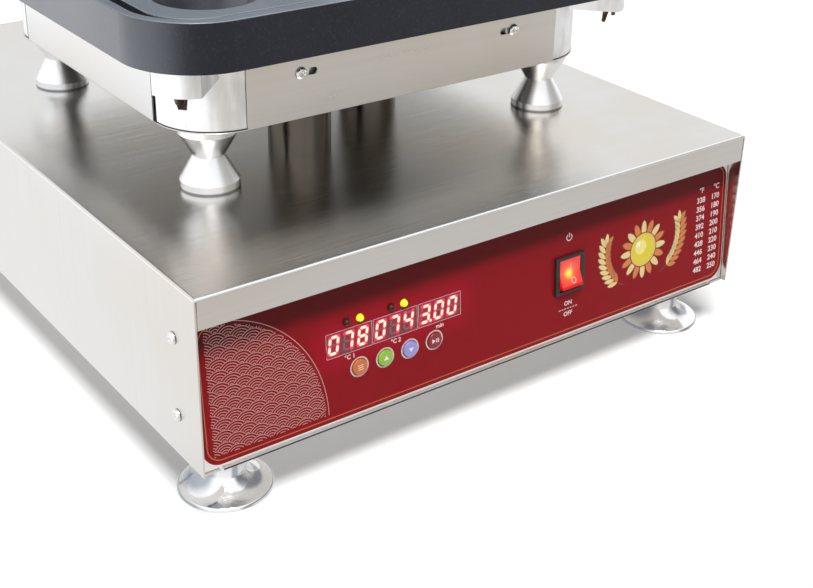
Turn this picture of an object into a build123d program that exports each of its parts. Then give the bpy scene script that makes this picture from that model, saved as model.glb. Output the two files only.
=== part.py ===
from build123d import *
import os
from math import acos, atan2, cos, degrees, hypot, radians, sin, tan

# Countertop tartlet maker, in millimetres. +Z is up, the control panel faces -Y, and X runs along the front.
# A folded steel base box stands on four bell feet and carries the lower heating unit on four turned posts.
# The lower unit holds a mould plate with conical cups. The upper unit, with matching punches, is hinged
# at the rear. It is built closed and then swung open about the hinge pin, which is how it rests.
# While building, Y is counted from the front of the base box; at the end everything is centred.

# General
sheet = 1.2
overrun = 2.0
seat_gap = 0.3
run_gap = 0.05
touch_gap = 0.1
fixed_gap = 0.02
bolt_r = 4.0
bolt_clear = 0.5
small_screw_r = 2.0
small_head_r = 4.4
small_head_h = 2.6
small_head_round_share = 0.7
small_screw_length = 9.0
nut_r = 7.0
nut_h = 6.5

# Base box
base_width = 490.0
base_depth = 598.0
base_height = 130.0
base_bend = 2.0
base_plate_screw_share = 0.6
return_screw_share = 0.6
fold_round_share = 0.9
front_lip = 21.6
rear_lip = 16.0
bottom_flange = 14.0
lip_seam = 0.6
side_screw_y = 31.4
side_screw_low = 32.6
side_screw_high = 89.7

# Bell feet
foot_height = 40.6
foot_rim_r = 32.9
foot_neck_r = 15.3
foot_cone_top = 14.8
foot_bead = 3.4
foot_flare_share = 0.6
foot_flare_rise_share = 1.7
foot_stud_share = 0.5
foot_sole_r = 25.0
foot_sole_depth = 1.5
foot_inset_x = 35.6
foot_inset_y = 38.7

# Posts between base box and lower unit
post_height = 47.4
post_r = 21.6
post_waist_r = 11.4
post_band = 6.0
post_inset_x = 31.9
post_inset_y = 31.4
post_bolt_reach = 22.0

# Wiring tubes
tube_r = 23.9
tube_wall = 1.5
tube_front_x = -62.0
tube_front_inset = 58.6
tube_rear_x = 42.0
tube_rear_inset = 119.4

# Control panel
panel_tilt = 4.45
panel_foot_y = 4.4
panel_foot_lift = 1.2
panel_height = 117.0
panel_return = 12.0
panel_side_return = 42.0
panel_side_gap = 0.5
overlay_thick = 0.5
overlay_margin = 1.8
overlay_foot = 2.8
overlay_height = 100.0
overlay_corner_r = 13.0

# Display modules, lamps and buttons, placed on the panel from its middle and its foot
display_w = 37.4
display_h = 18.6
display_t = 8.0
display_pitch = 38.0
display_u = -90.2
display_v = 59.5
display_proud = 0.3
lamp_r = 2.5
lamp_flange_r = 2.9
lamp_dome_share = 0.33
lamp_v = 73.6
lamp_first_u = -129.9
lamp_step = 10.8
lamp_pair_step = 36.3
button_r = 5.9
button_flange_r = 7.0
button_flange_t = 1.1
button_stem_r = 1.75
button_stem_length = 0.5
button_proud = 1.6
button_round_share = 0.5
button_travel = 1.0
button_pitch = 21.2
button_first_u = -120.9
button_v = 37.2
button_names = ("button_set", "button_up", "button_down", "button_start")

# Circuit board behind the panel
board_t = 1.6
board_w = 136.0
board_h = 62.0
board_u = -90.2
board_v = 55.0
key_body = 11.0
key_gap = 0.2
spacer_r = 3.0
spacer_inset = 5.0

# Rocker switch
switch_u = 69.9
switch_v = 52.7
bezel_w = 28.6
bezel_h = 30.4
bezel_t = 2.2
bezel_round_share = 0.3
switch_body_w = 22.6
switch_body_h = 27.4
switch_body_depth = 23.0
switch_wall = 0.8
switch_hollow_depth = 16.0
rocker_gap = 0.4
rocker_half_h = 11.4
rocker_peak = 4.0
rocker_valley = 1.7
rocker_pivot_depth = 4.0
rocker_skirt_r = 9.0
rocker_swing = 20.0

# Rear panel and bottom plate
rear_recess = 10.0
rear_return = 12.0
vent_w = 4.0
vent_length = 30.0
vent_pitch = 11.0
vent_count = 12
vent_row_shares = (0.33, 0.67)
gland_r = 10.0
gland_nut_r = 12.5
gland_nut_t = 5.0
gland_thread_r = 8.0
gland_thread_length = 10.0
gland_dome = 12.0
gland_hole_r = 5.0
mains_gland_x = -150.0
lid_gland_x = 60.0
gland_z_above_base = 40.0
foot_plate_edge = 2.5
plate_side_gap = 2.0

# Power parts inside the base
relay_w = 45.0
relay_d = 58.0
relay_h = 26.0
relay_x = 120.0
relay_y = 300.0
relay_pitch = 88.0
relay_groove_share = 0.75
transformer_w = 66.0
transformer_d = 50.0
transformer_h = 54.0
transformer_x = -120.0
transformer_y = 260.0
coil_w = 40.0
coil_d = 62.0
coil_h = 34.0
terminal_w = 92.0
terminal_d = 24.0
terminal_h = 18.0
terminal_pole_pitch = 14.0
terminal_slot = 8.0
terminal_x = -130.0
terminal_inset = 118.0

# Heating units, the same above and below
unit_width = 370.4
unit_depth = 320.8
unit_height = 55.5
unit_front = 115.6
unit_corner_r = 46.0
skirt_lip = 5.0
skirt_side_gap = 4.0
skirt_bend = 1.0
body_inset = 1.0
body_lift = 0.6
body_recess = 5.0
body_slab = 20.0
body_wall = 12.0
body_corner_block = 60.0
body_pad_r = 14.0
slot_screw_inset = 89.4
slot_screw_drop = 22.0
slot_length = 18.0
slot_height = 5.2
slot_offset = 4.2
screw_pad_r = 7.0
wire_hole_r = 15.0

# Corner lugs of the lower casting and their split pins
lug_width = 33.0
lug_thick = 16.5
lug_reach = 20.0
lug_end_r = 34.0
pin_hole_r = 5.5
pin_place = 9.0
pin_socket = 4.0
split_pin_r = 5.2
leg_long = 12.5
leg_short = 6.5
leg_spread = 14.0
leg_tip_share = 0.55

# Heating elements, insulation and sensors
element_r = 4.0
element_bend = 16.0
element_turn_down = 9.0
element_inset_x = 73.2
element_inner_x = 20.0
element_inset_front = 58.6
element_second_share = 0.309
element_third_share = 0.639
element_inset_rear = 68.4
element_post_inset = 59.0
element_ends = 18.0
element_drop = 22.0
insulation_t = 20.0
sensor_r = 3.0
sensor_round_share = 0.4
sensor_length = 45.0
sensor_place_share = 0.154

# Mould plates
plate_overhang = 31.4
plate_corner_r = 56.0
frame_height = 34.0
frame_floor = 7.0
frame_rim_side = 6.7
frame_rim_front = 10.2
frame_pocket_r = 46.0
frame_edge = 1.0
mould_gap_side = 7.3
mould_gap_front = 1.3
mould_corner_r = 35.0
mould_edge = 0.8
cup_r = 36.4
cup_floor_r = 25.5
cup_depth = 22.0
cup_floor_fillet = 4.0
cup_edge_x = 51.7
cup_edge_y = 50.1
cup_least_pitch = 78.0
shell_thick = 3.0
punch_plate_t = 18.0
punch_tip_fillet = 4.0
closing_gap = 0.5

# Hinge at the rear
hinge_behind = 30.0
hinge_inset = 67.2
hinge_web = 10.0
hinge_side_gap = 1.0
hinge_neck = 4.0
hinge_boss_r = 15.0
hinge_pin_r = 6.0
hinge_pin_end = 7.0
hinge_pin_chamfer = 1.2
hinge_collar_r = 9.0
hinge_collar_t = 4.0
bush_wall = 2.0
flange_w = 46.0
flange_t = 8.0
flange_low = 10.0
flange_high = 50.0
flange_bolt_inset = 12.0
lid_open_angle = 100.0
stop_r = 5.0
stop_reach = 12.0
stop_lobe_r = 11.0
stop_chamfer = 0.8
stop_place_share = 0.62

# Handle of the upper unit
handle_rod_r = 6.0
handle_beside_slot = 24.2
handle_reach = 78.0
handle_bend = 20.0
handle_flange_r = 13.0
handle_flange_t = 4.0
handle_height = 30.0
grip_r = 15.0
grip_length = 150.0
grip_waist_r = 13.5
grip_round = 3.0

# Levels and lines that follow from these sizes
base_bottom = foot_height
base_top = base_bottom + base_height
tray_bottom = base_top + post_height
unit_top = tray_bottom + unit_height
plate_top = unit_top + frame_height
lid_bottom = plate_top + closing_gap
lid_body_bottom = lid_bottom + punch_plate_t
lid_top = lid_body_bottom + unit_height
base_half = base_width / 2
unit_half_x = unit_width / 2
unit_half_y = unit_depth / 2
unit_rear = unit_front + unit_depth
unit_y = unit_front + unit_half_y
post_x = unit_half_x - post_inset_x
post_front_y = unit_front + post_inset_y
post_rear_y = unit_rear - post_inset_y
tube_places = ((tube_front_x, unit_front + tube_front_inset), (tube_rear_x, unit_front + tube_rear_inset))
foot_x = base_half - foot_inset_x
terminal_y = base_depth - terminal_inset
slot_screw_x = unit_half_x - slot_screw_inset
hinge_x = unit_half_x - hinge_inset
handle_half = slot_screw_x + handle_beside_slot
element_half_x = unit_half_x - element_inset_x
element_front = element_inset_front - unit_half_y
element_rear = unit_half_y - element_inset_rear
element_span = element_rear - element_front
element_second = element_front + element_span * element_second_share
element_third = element_front + element_span * element_third_share
element_post_x = element_half_x - element_post_inset
sensor_y = element_front + element_span * sensor_place_share
plate_width = unit_width + 2 * plate_overhang
plate_depth = unit_depth + 2 * plate_overhang
pocket_width = plate_width - 2 * frame_rim_side
pocket_depth = plate_depth - 2 * frame_rim_front
mould_width = pocket_width - 2 * mould_gap_side
mould_depth = pocket_depth - 2 * mould_gap_front
cup_span_x = mould_width - 2 * cup_edge_x
cup_span_y = mould_depth - 2 * cup_edge_y
cup_columns = 1 + int(cup_span_x // cup_least_pitch)
cup_rows = 1 + int(cup_span_y // cup_least_pitch)
cup_pitch_x = cup_span_x / (cup_columns - 1)
cup_pitch_y = cup_span_y / (cup_rows - 1)
cup_slope = (cup_r - cup_floor_r) / cup_depth
punch_r = cup_r - shell_thick * hypot(1, cup_slope)
punch_depth = cup_depth - shell_thick + closing_gap
hinge_y = unit_rear + plate_overhang + hinge_behind
hinge_z = plate_top + closing_gap / 2
board_face = -(display_t - display_proud - overlay_thick)
LOW = (Align.CENTER, Align.CENTER, Align.MIN)


def box_between(x0, x1, y0, y1, z0, z1):
    return Pos((x0 + x1) / 2, (y0 + y1) / 2, (z0 + z1) / 2) * Box(x1 - x0, y1 - y0, z1 - z0)


def upright(x, y, z0, z1, radius):
    return Pos(x, y, z0) * Cylinder(radius, z1 - z0, align=LOW)


def rounded_slab(width, depth, z0, z1, radius):
    return Pos(0, unit_y, z0) * extrude(RectangleRounded(width, depth, radius), z1 - z0)


def turned(outline):
    """A solid of revolution about Z from an outline in radius and height."""
    return revolve(Plane.XZ * make_face(Polyline(*outline, close=True)), Axis.Z)


def group(pieces):
    return Compound(children=list(pieces))


def placed(place, piece):
    """Move a piece; the solids of a group are moved one by one, so the group itself stays put."""
    solids = piece.solids()
    if len(solids) == 1:
        return place * piece
    return group(place * solid for solid in solids)


def pan_screw(length):
    """Pan-head screw that points down, with the underside of its head at the origin."""
    head = Cylinder(small_head_r, small_head_h, align=LOW)
    head = fillet(head.edges().sort_by(Axis.Z)[-1], small_head_h * small_head_round_share)
    head = Pos(0, 0, touch_gap) * head
    return head + Pos(0, 0, -length) * Cylinder(small_screw_r, length + touch_gap, align=LOW)


def corners(half_x, y_low, y_high):
    return [(sx * half_x, y) for y in (y_low, y_high) for sx in (-1, 1)]


# The leaning panel has its own axes: u to the right, v up along the panel, n out of it.
panel_tilt_rad = radians(panel_tilt)
panel_normal = (0, -cos(panel_tilt_rad), sin(panel_tilt_rad))
panel_foot = (0, panel_foot_y, base_bottom + panel_foot_lift)
panel_plane = Plane(panel_foot, x_dir=(1, 0, 0), z_dir=panel_normal)


def on_panel(u, v, n, piece):
    return panel_plane * Pos(u, v, n) * piece


def panel_box(u0, u1, v0, v1, n0, n1):
    return on_panel((u0 + u1) / 2, (v0 + v1) / 2, n0, Box(u1 - u0, v1 - v0, n1 - n0, align=LOW))


def panel_disc(u, v, n0, n1, radius):
    return on_panel(u, v, n0, Cylinder(radius, n1 - n0, align=LOW))


def lamp_places():
    return [lamp_first_u + pair * lamp_pair_step + side * lamp_step for pair in (0, 1) for side in (0, 1)]


def display_places():
    return [display_u + step * display_pitch for step in (-1, 0, 1)]


def button_places():
    return [button_first_u + step * button_pitch for step in range(len(button_names))]


def panel_cuts():
    """Windows of the panel and its film, for the displays, lamps, buttons and the switch."""
    back = -(sheet + overrun)
    front = overlay_thick + overrun
    window_half = display_pitch + display_w / 2 + seat_gap
    window_rise = display_h / 2 + seat_gap
    cuts = panel_box(display_u - window_half, display_u + window_half,
                     display_v - window_rise, display_v + window_rise, back, front)
    for u in lamp_places():
        cuts += panel_disc(u, lamp_v, back, front, lamp_r + seat_gap)
    for u in button_places():
        cuts += panel_disc(u, button_v, back, front, button_r + seat_gap)
    half_w = switch_body_w / 2 + seat_gap
    half_h = switch_body_h / 2 + seat_gap
    return cuts + panel_box(switch_u - half_w, switch_u + half_w,
                            switch_v - half_h, switch_v + half_h, back, front)


def make_base_hood():
    half = base_half
    shell = Pos(0, base_depth / 2, base_bottom) * Box(base_width, base_depth, base_height, align=LOW)
    shell = fillet(shell.faces().sort_by(Axis.Z)[-1].edges(), base_bend)
    low_sides = shell.faces().sort_by(Axis.Z)[0].edges().filter_by(Axis.Y)
    shell = fillet(low_sides, base_bend)
    shell -= box_between(-half + sheet, half - sheet, sheet, base_depth - sheet,
                         base_bottom + sheet, base_top - sheet)
    open_half = half - bottom_flange
    shell -= box_between(-open_half, open_half, -overrun, base_depth + overrun,
                         base_bottom - overrun, base_bottom + sheet + overrun)
    inner = half - sheet
    shell -= box_between(-inner, inner, -overrun, sheet + overrun,
                         base_bottom - overrun, base_top - front_lip)
    shell -= box_between(-inner, inner, base_depth - sheet - overrun, base_depth + overrun,
                         base_bottom - overrun, base_top - rear_lip)
    for side in (-1, 1):
        seam_in = side * (inner - lip_seam)
        shell -= box_between(min(side * inner, seam_in), max(side * inner, seam_in), -overrun, sheet,
                             base_top - front_lip - overrun, base_top - base_bend)
    for y in (side_screw_y, base_depth - side_screw_y):
        shell -= side_screw_holes(half, y, small_screw_r + seat_gap)
    for x, y in corners(post_x, post_front_y, post_rear_y):
        shell -= upright(x, y, base_top - overrun, base_top + overrun, bolt_r + bolt_clear)
    for x, y in tube_places:
        shell -= upright(x, y, base_top - overrun, base_top + overrun, wire_hole_r)
    return shell


def lean_y(z):
    """Y of the panel's front face at a height."""
    return panel_foot_y + (z - base_bottom - panel_foot_lift) * tan(panel_tilt_rad)


def pan_block(half, low, high, face_low, face_high, back):
    """Block between two sides, from a front face that may lean to a flat back."""
    profile = Polyline((face_low, low), (back, low), (back, high), (face_high, high), close=True)
    return extrude(Plane.YZ * make_face(profile), half, both=True)


def side_screw_holes(half, y, radius):
    holes = Part()
    for side in (-1, 1):
        for z in (base_bottom + side_screw_low, base_bottom + side_screw_high):
            holes += Pos(side * half, y, z) * Rot(0, 90, 0) * Cylinder(radius, 2 * overrun)
    return holes


def make_front_panel():
    half = base_half - sheet - panel_side_gap
    low = base_bottom + panel_foot_lift
    high = low + panel_height
    back = panel_side_return
    panel = pan_block(half, low, high, lean_y(low), lean_y(high), back)
    inner_low, inner_high = low + sheet, high - sheet
    panel -= pan_block(half - sheet, inner_low, inner_high, lean_y(inner_low) + sheet,
                       lean_y(inner_high) + sheet, back + overrun)
    panel -= box_between(-half + sheet, half - sheet, lean_y(high) + panel_return, back + overrun,
                         low - overrun, high + overrun)
    low_edge = panel.edges().filter_by(Axis.X).group_by(Axis.Z)[0].sort_by(Axis.Y)[0]
    panel = fillet(low_edge, sheet * fold_round_share) - panel_cuts()
    panel -= side_screw_holes(half, side_screw_y, small_screw_r + run_gap)
    return panel - plate_screw_holes(run_gap)


def make_panel_overlay():
    width = 2 * (base_half - sheet - overlay_margin)
    film = extrude(RectangleRounded(width, overlay_height, overlay_corner_r), overlay_thick)
    film = on_panel(0, overlay_foot + overlay_height / 2, 0, film)
    return film - panel_cuts()


def rear_holes():
    z = base_bottom + gland_z_above_base
    return [(mains_gland_x, z), (lid_gland_x, z)]


def make_rear_panel():
    half = base_half - sheet - panel_side_gap
    face = base_depth - rear_recess
    low = base_bottom + panel_foot_lift
    high = base_top - sheet - seat_gap
    panel = box_between(-half, half, face - panel_side_return, face, low, high)
    panel -= box_between(-half + sheet, half - sheet, face - panel_side_return - overrun, face - sheet,
                         low + sheet, high - sheet)
    panel -= box_between(-half + sheet, half - sheet, face - panel_side_return - overrun, face - rear_return,
                         low - overrun, high + overrun)
    panel -= side_screw_holes(half, base_depth - side_screw_y, small_screw_r + run_gap)
    panel -= plate_screw_holes(run_gap)
    slot = extrude(SlotOverall(vent_length, vent_w), overrun, both=True)
    for step in range(vent_count):
        x = (step - (vent_count - 1) / 2) * vent_pitch
        for side in (-1, 1):
            place = Pos(x + side * base_half / 2, face, (low + high) / 2 + vent_length / 2)
            panel -= place * Rot(90, 0, 0) * Rot(0, 0, 90) * slot
    for x, z in rear_holes():
        panel -= Pos(x, face, z) * Rot(90, 0, 0) * Cylinder(gland_thread_r + seat_gap, 2 * overrun)
    return panel


def plate_screw_places():
    front = panel_foot_y + panel_return * return_screw_share
    rear = base_depth - rear_recess - rear_return * return_screw_share
    return corners(base_half * base_plate_screw_share, front, rear)


def plate_screw_holes(clear):
    holes = Part()
    for x, y in plate_screw_places():
        holes += upright(x, y, base_bottom - overrun, base_bottom + sheet + overrun, small_screw_r + clear)
    return holes


def make_base_plate():
    half = base_half - bottom_flange - plate_side_gap
    plate = box_between(-half, half, foot_plate_edge, base_depth - foot_plate_edge,
                        base_bottom, base_bottom + sheet)
    slot = extrude(SlotOverall(vent_length, vent_w), overrun, both=True)
    for step in range(vent_count):
        x = (step - (vent_count - 1) / 2) * vent_pitch
        for share in vent_row_shares:
            plate -= Pos(x, base_depth * share, base_bottom) * Rot(0, 0, 90) * slot
    for x, y in corners(foot_x, foot_inset_y, base_depth - foot_inset_y):
        plate -= upright(x, y, base_bottom - overrun, base_bottom + overrun, bolt_r + bolt_clear)
    return plate - plate_screw_holes(seat_gap)


def make_case_screws():
    screws = []
    for side in (-1, 1):
        for y in (side_screw_y, base_depth - side_screw_y):
            for z in (base_bottom + side_screw_low, base_bottom + side_screw_high):
                turn = Rot(0, side * 90, 0)
                screws.append(Pos(side * base_half, y, z) * turn * pan_screw(small_screw_length))
    for x, y in plate_screw_places():
        screws.append(Pos(x, y, base_bottom) * Rot(180, 0, 0) * pan_screw(small_screw_length))
    return group(screws)


def make_foot(x, y):
    with BuildSketch(Plane.XZ) as section:
        with BuildLine():
            Polyline((0, foot_height), (foot_neck_r, foot_height), (foot_neck_r, foot_cone_top))
            rim_in = foot_rim_r - foot_bead / 2
            flare_r = foot_neck_r + (rim_in - foot_neck_r) * foot_flare_share
            Spline((foot_neck_r, foot_cone_top), (flare_r, foot_bead * foot_flare_rise_share),
                   (rim_in, foot_bead))
            ThreePointArc((rim_in, foot_bead), (foot_rim_r, foot_bead / 2), (rim_in, 0))
            Polyline((rim_in, 0), (foot_sole_r, 0), (foot_sole_r, foot_sole_depth), (0, foot_sole_depth),
                     (0, foot_height))
        make_face()
    foot = revolve(section.sketch, Axis.Z)
    stud_low = foot_height * foot_stud_share
    foot -= upright(0, 0, stud_low - touch_gap, foot_height + overrun, bolt_r + fixed_gap)
    return Pos(x, y, 0) * foot


def make_foot_bolts():
    bolts = []
    for x, y in corners(foot_x, foot_inset_y, base_depth - foot_inset_y):
        seat = base_bottom + sheet + touch_gap
        stud = upright(x, y, foot_height * foot_stud_share, seat + nut_h + overrun, bolt_r)
        nut = Pos(x, y, seat) * extrude(RegularPolygon(nut_r, 6), nut_h)
        bolts.append(stud + nut)
    return group(bolts)


def make_post(x, y):
    mid = post_height / 2
    bore = bolt_r + bolt_clear
    outline = [(bore, 0), (post_r, 0), (post_r, post_band), (post_waist_r, mid),
               (post_r, post_height - post_band), (post_r, post_height), (bore, post_height)]
    return Pos(x, y, base_top) * turned(outline)


def make_post_bolts():
    bolts = []
    seat = base_top - sheet - touch_gap - nut_h
    for x, y in corners(post_x, post_front_y, post_rear_y):
        stud = upright(x, y, seat - overrun, tray_bottom + post_bolt_reach, bolt_r)
        nut = Pos(x, y, seat) * extrude(RegularPolygon(nut_r, 6), nut_h)
        bolts.append(stud + nut)
    return group(bolts)


def make_wiring_tube(x, y):
    tube = upright(x, y, base_top, tray_bottom, tube_r)
    return tube - upright(x, y, base_top - overrun, tray_bottom + overrun, tube_r - tube_wall)


def make_display(u):
    half_w, half_h = display_w / 2, display_h / 2
    return panel_box(u - half_w, u + half_w, display_v - half_h, display_v + half_h,
                     board_face, overlay_thick + display_proud)


def make_indicator_leds():
    lamps = []
    for u in lamp_places():
        front = overlay_thick + lamp_r * lamp_dome_share
        lamp = panel_disc(u, lamp_v, board_face, front, lamp_r)
        lamp += on_panel(u, lamp_v, front, Sphere(lamp_r))
        lamp += panel_disc(u, lamp_v, -sheet - seat_gap - sheet, -sheet - seat_gap, lamp_flange_r)
        lamps.append(lamp)
    return group(lamps)


def key_top():
    """Front of the key bodies on the board: a full press just misses it."""
    return -sheet - seat_gap - button_flange_t - button_stem_length - button_travel - key_gap


def make_button(u):
    back = -sheet - seat_gap
    cap = panel_disc(u, button_v, back, overlay_thick + button_proud, button_r)
    front_edge = cap.edges().sort_by(Axis.Y)[0]
    cap = fillet(front_edge, button_proud * button_round_share)
    cap += panel_disc(u, button_v, back - button_flange_t, back, button_flange_r)
    stem_end = back - button_flange_t - button_stem_length
    return cap + panel_disc(u, button_v, stem_end, back - button_flange_t, button_stem_r)


def make_control_board():
    half_w, half_h = board_w / 2, board_h / 2
    board = panel_box(board_u - half_w, board_u + half_w, board_v - half_h, board_v + half_h,
                      board_face - board_t, board_face)
    for u in button_places():
        half = key_body / 2
        board += panel_box(u - half, u + half, button_v - half, button_v + half, board_face, key_top())
    return board


def spacer_places():
    half_w, half_h = board_w / 2 - spacer_inset, board_h / 2 - spacer_inset
    return [(board_u + su * half_w, board_v + sv * half_h) for su in (-1, 1) for sv in (-1, 1)]


def make_board_spacers():
    return group(panel_disc(u, v, board_face, -sheet, spacer_r) for u, v in spacer_places())


def make_switch_bezel():
    face = overlay_thick
    place = panel_plane * Pos(switch_u, switch_v, face)
    frame = place * Box(bezel_w, bezel_h, bezel_t, align=LOW)
    frame = fillet(frame.edges().group_by(Axis.Y)[0], bezel_t * bezel_round_share)
    body = Pos(0, 0, -switch_body_depth) * Box(switch_body_w, switch_body_h, switch_body_depth, align=LOW)
    hollow_w = switch_body_w - 2 * switch_wall
    hollow_h = switch_body_h - 2 * switch_wall
    hollow = Box(hollow_w, hollow_h, switch_hollow_depth + bezel_t + overrun, align=LOW)
    return frame + place * body - place * Pos(0, 0, -switch_hollow_depth) * hollow


def make_switch_rocker():
    """Rocker in its ON place: the upper end is pressed in and the lower end stands out."""
    depth = rocker_pivot_depth
    half = rocker_half_h
    with BuildSketch(Plane.YZ) as section:
        with BuildLine():
            Polyline((-rocker_skirt_r, 0), (-half, depth), (-half, depth + rocker_peak),
                     (0, depth + rocker_valley), (half, depth + rocker_peak), (half, depth),
                     (rocker_skirt_r, 0))
            ThreePointArc((rocker_skirt_r, 0), (0, -rocker_skirt_r), (-rocker_skirt_r, 0))
        make_face()
    width = switch_body_w - 2 * switch_wall - 2 * rocker_gap
    rocker = extrude(section.sketch, width / 2, both=True)
    return on_panel(switch_u, switch_v, overlay_thick - depth, Rot(-rocker_swing / 2, 0, 0) * rocker)


def make_heater_relays():
    floor = base_bottom + panel_foot_lift
    relays = []
    for step in (0, 1):
        y = relay_y + step * relay_pitch
        relay = Pos(relay_x, y, floor) * Box(relay_w, relay_d, relay_h, align=LOW)
        groove = Box(relay_w / 2, relay_d + overrun, relay_h, align=LOW)
        relays.append(relay - Pos(relay_x, y, floor + relay_h * relay_groove_share) * groove)
    return group(relays)


def make_transformer():
    floor = base_bottom + panel_foot_lift
    core = Box(transformer_w, transformer_d, transformer_h)
    coil = Box(coil_w, coil_d, coil_h)
    return Pos(transformer_x, transformer_y, floor + transformer_h / 2) * (core + coil)


def make_terminal_block():
    floor = base_bottom + panel_foot_lift
    block = Pos(terminal_x, terminal_y, floor) * Box(terminal_w, terminal_d, terminal_h, align=LOW)
    poles = int(terminal_w // terminal_pole_pitch)
    for pole in range(poles):
        x = terminal_x + (pole - (poles - 1) / 2) * terminal_pole_pitch
        slot = Box(terminal_slot, terminal_slot, terminal_h, align=LOW)
        block -= Pos(x, terminal_y, floor + terminal_h / 2) * slot
    return block


def make_gland():
    """Cable gland whose thread points along -Z, with its seat at the origin."""
    outline = [(gland_hole_r, -gland_thread_length), (gland_thread_r, -gland_thread_length),
               (gland_thread_r, 0), (gland_nut_r, 0), (gland_nut_r, gland_nut_t), (gland_r, gland_nut_t),
               (gland_r, gland_nut_t + gland_dome / 2), (gland_hole_r + sheet, gland_nut_t + gland_dome),
               (gland_hole_r, gland_nut_t + gland_dome)]
    return turned(outline)


def make_base_glands():
    face = base_depth - rear_recess
    return group(Pos(x, face, z) * Rot(-90, 0, 0) * make_gland() for x, z in rear_holes())


def flange_bolt_holes(center, depth, radius):
    """Holes for the hinge bolts in a unit's rear, from its rear face inward."""
    holes = Part()
    for side in (-1, 1):
        for offset in (-1, 1):
            x = side * center + offset * (flange_w / 2 - flange_bolt_inset)
            place = Pos(x, unit_rear, (flange_low + flange_high) / 2) * Rot(90, 0, 0)
            holes += place * Cylinder(radius, depth, align=LOW)
    return holes


def make_tray(hinge_center):
    """Tray of a heating unit: a bottom with rounded corners and four upright flaps, bottom at z 0."""
    height = unit_height - skirt_lip
    tray = rounded_slab(unit_width, unit_depth, 0, sheet, unit_corner_r)
    flap_x = unit_half_x - unit_corner_r
    side_start = unit_front + unit_corner_r + skirt_side_gap
    side_end = unit_rear - unit_corner_r - skirt_side_gap
    tray += box_between(-flap_x, flap_x, unit_front, unit_front + sheet, 0, height)
    tray += box_between(-flap_x, flap_x, unit_rear - sheet, unit_rear, 0, height)
    tray += box_between(-unit_half_x, -unit_half_x + sheet, side_start, side_end, 0, height)
    tray += box_between(unit_half_x - sheet, unit_half_x, side_start, side_end, 0, height)
    low = tray.faces().sort_by(Axis.Z)[0].edges().filter_by(GeomType.LINE)
    tray = fillet(low, skirt_bend)
    slot = extrude(SlotOverall(slot_length, slot_height), overrun, both=True)
    for side in (-1, 1):
        place = Pos(side * (slot_screw_x - slot_offset), unit_front, unit_height - slot_screw_drop)
        tray -= place * Rot(90, 0, 0) * slot
    return tray - flange_bolt_holes(hinge_center, body_recess, small_screw_r + seat_gap)


def unit_bolt_holes(radius, z0, z1):
    holes = Part()
    for x, y in corners(post_x, post_front_y, post_rear_y):
        holes += upright(x, y, z0, z1, radius)
    return holes


def make_heater_body(hinge_center):
    """Cast heating block of a unit, open below, with its heated slab on top and its tray side at z 0."""
    low = sheet + body_lift
    inner_r = unit_corner_r - body_inset
    body = rounded_slab(unit_width - 2 * body_inset, unit_depth - 2 * body_inset, low, unit_height, inner_r)
    flap_x = unit_half_x - unit_corner_r
    side_start = unit_front + unit_corner_r
    side_end = unit_rear - unit_corner_r
    full = unit_height + overrun
    for side in (-1, 1):
        x0, x1 = sorted((side * (unit_half_x + overrun), side * (unit_half_x - body_recess)))
        body -= box_between(x0, x1, side_start, side_end, -overrun, full)
    for y0, y1 in ((unit_front - overrun, unit_front + body_recess),
                   (unit_rear - body_recess, unit_rear + overrun)):
        body -= box_between(-flap_x - seat_gap, flap_x + seat_gap, y0, y1, -overrun, full)
    wall = body_recess + body_wall
    ceiling = unit_height - body_slab
    block = body_corner_block
    body -= box_between(-unit_half_x + wall, unit_half_x - wall, unit_front + block, unit_rear - block,
                        -overrun, ceiling)
    body -= box_between(-unit_half_x + block, unit_half_x - block, unit_front + wall, unit_rear - wall,
                        -overrun, ceiling)
    for side in (-1, 1):
        pad = Pos(side * slot_screw_x, unit_front + sheet, unit_height - slot_screw_drop) * Rot(-90, 0, 0)
        body += pad * Cylinder(screw_pad_r, body_recess, align=LOW)
        body -= pad * Pos(0, 0, -overrun) * Cylinder(small_screw_r + run_gap, body_wall, align=LOW)
    pads = flange_bolt_holes(hinge_center, body_recess + overrun, screw_pad_r)
    body += pads - box_between(-unit_half_x, unit_half_x, unit_rear - sheet, unit_rear + overrun,
                               0, unit_height)
    body -= flange_bolt_holes(hinge_center, body_wall, small_screw_r + run_gap)
    for x, y in corners(post_x, post_front_y, post_rear_y):
        body += upright(x, y, sheet, low, body_pad_r)
    return body


def corner_frame(side):
    """Place at a front corner of the unit: local +X runs outward along the diagonal."""
    return Pos(side * unit_half_x, unit_front, 0) * Rot(0, 0, -90 + side * 45)


def make_lug(side):
    """Lug of a front corner: a bar along the diagonal with a bowed end, under the carrier's corner."""
    root = -unit_corner_r
    bar = Pos((root + lug_reach) / 2, 0, 0) * Rectangle(lug_reach - root, lug_width)
    bowed = Pos(lug_reach - lug_end_r, 0, 0) * Circle(lug_end_r)
    bar &= bowed + Pos(root, 0, 0) * Rectangle(lug_end_r, lug_width)
    return Pos(0, 0, unit_top - lug_thick) * corner_frame(side) * extrude(bar, lug_thick)


def make_lower_heater_body():
    body = Pos(0, 0, tray_bottom) * make_heater_body(hinge_x)
    bolt_end = tray_bottom + post_bolt_reach + touch_gap
    body -= unit_bolt_holes(bolt_r + fixed_gap, tray_bottom - overrun, bolt_end)
    for side in (-1, 1):
        body += make_lug(side)
        hole = Pos(0, 0, unit_top - lug_thick - overrun) * corner_frame(side) * Pos(pin_place, 0, 0)
        body -= hole * Cylinder(pin_hole_r, lug_thick + 2 * overrun, align=LOW)
    return body


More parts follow.
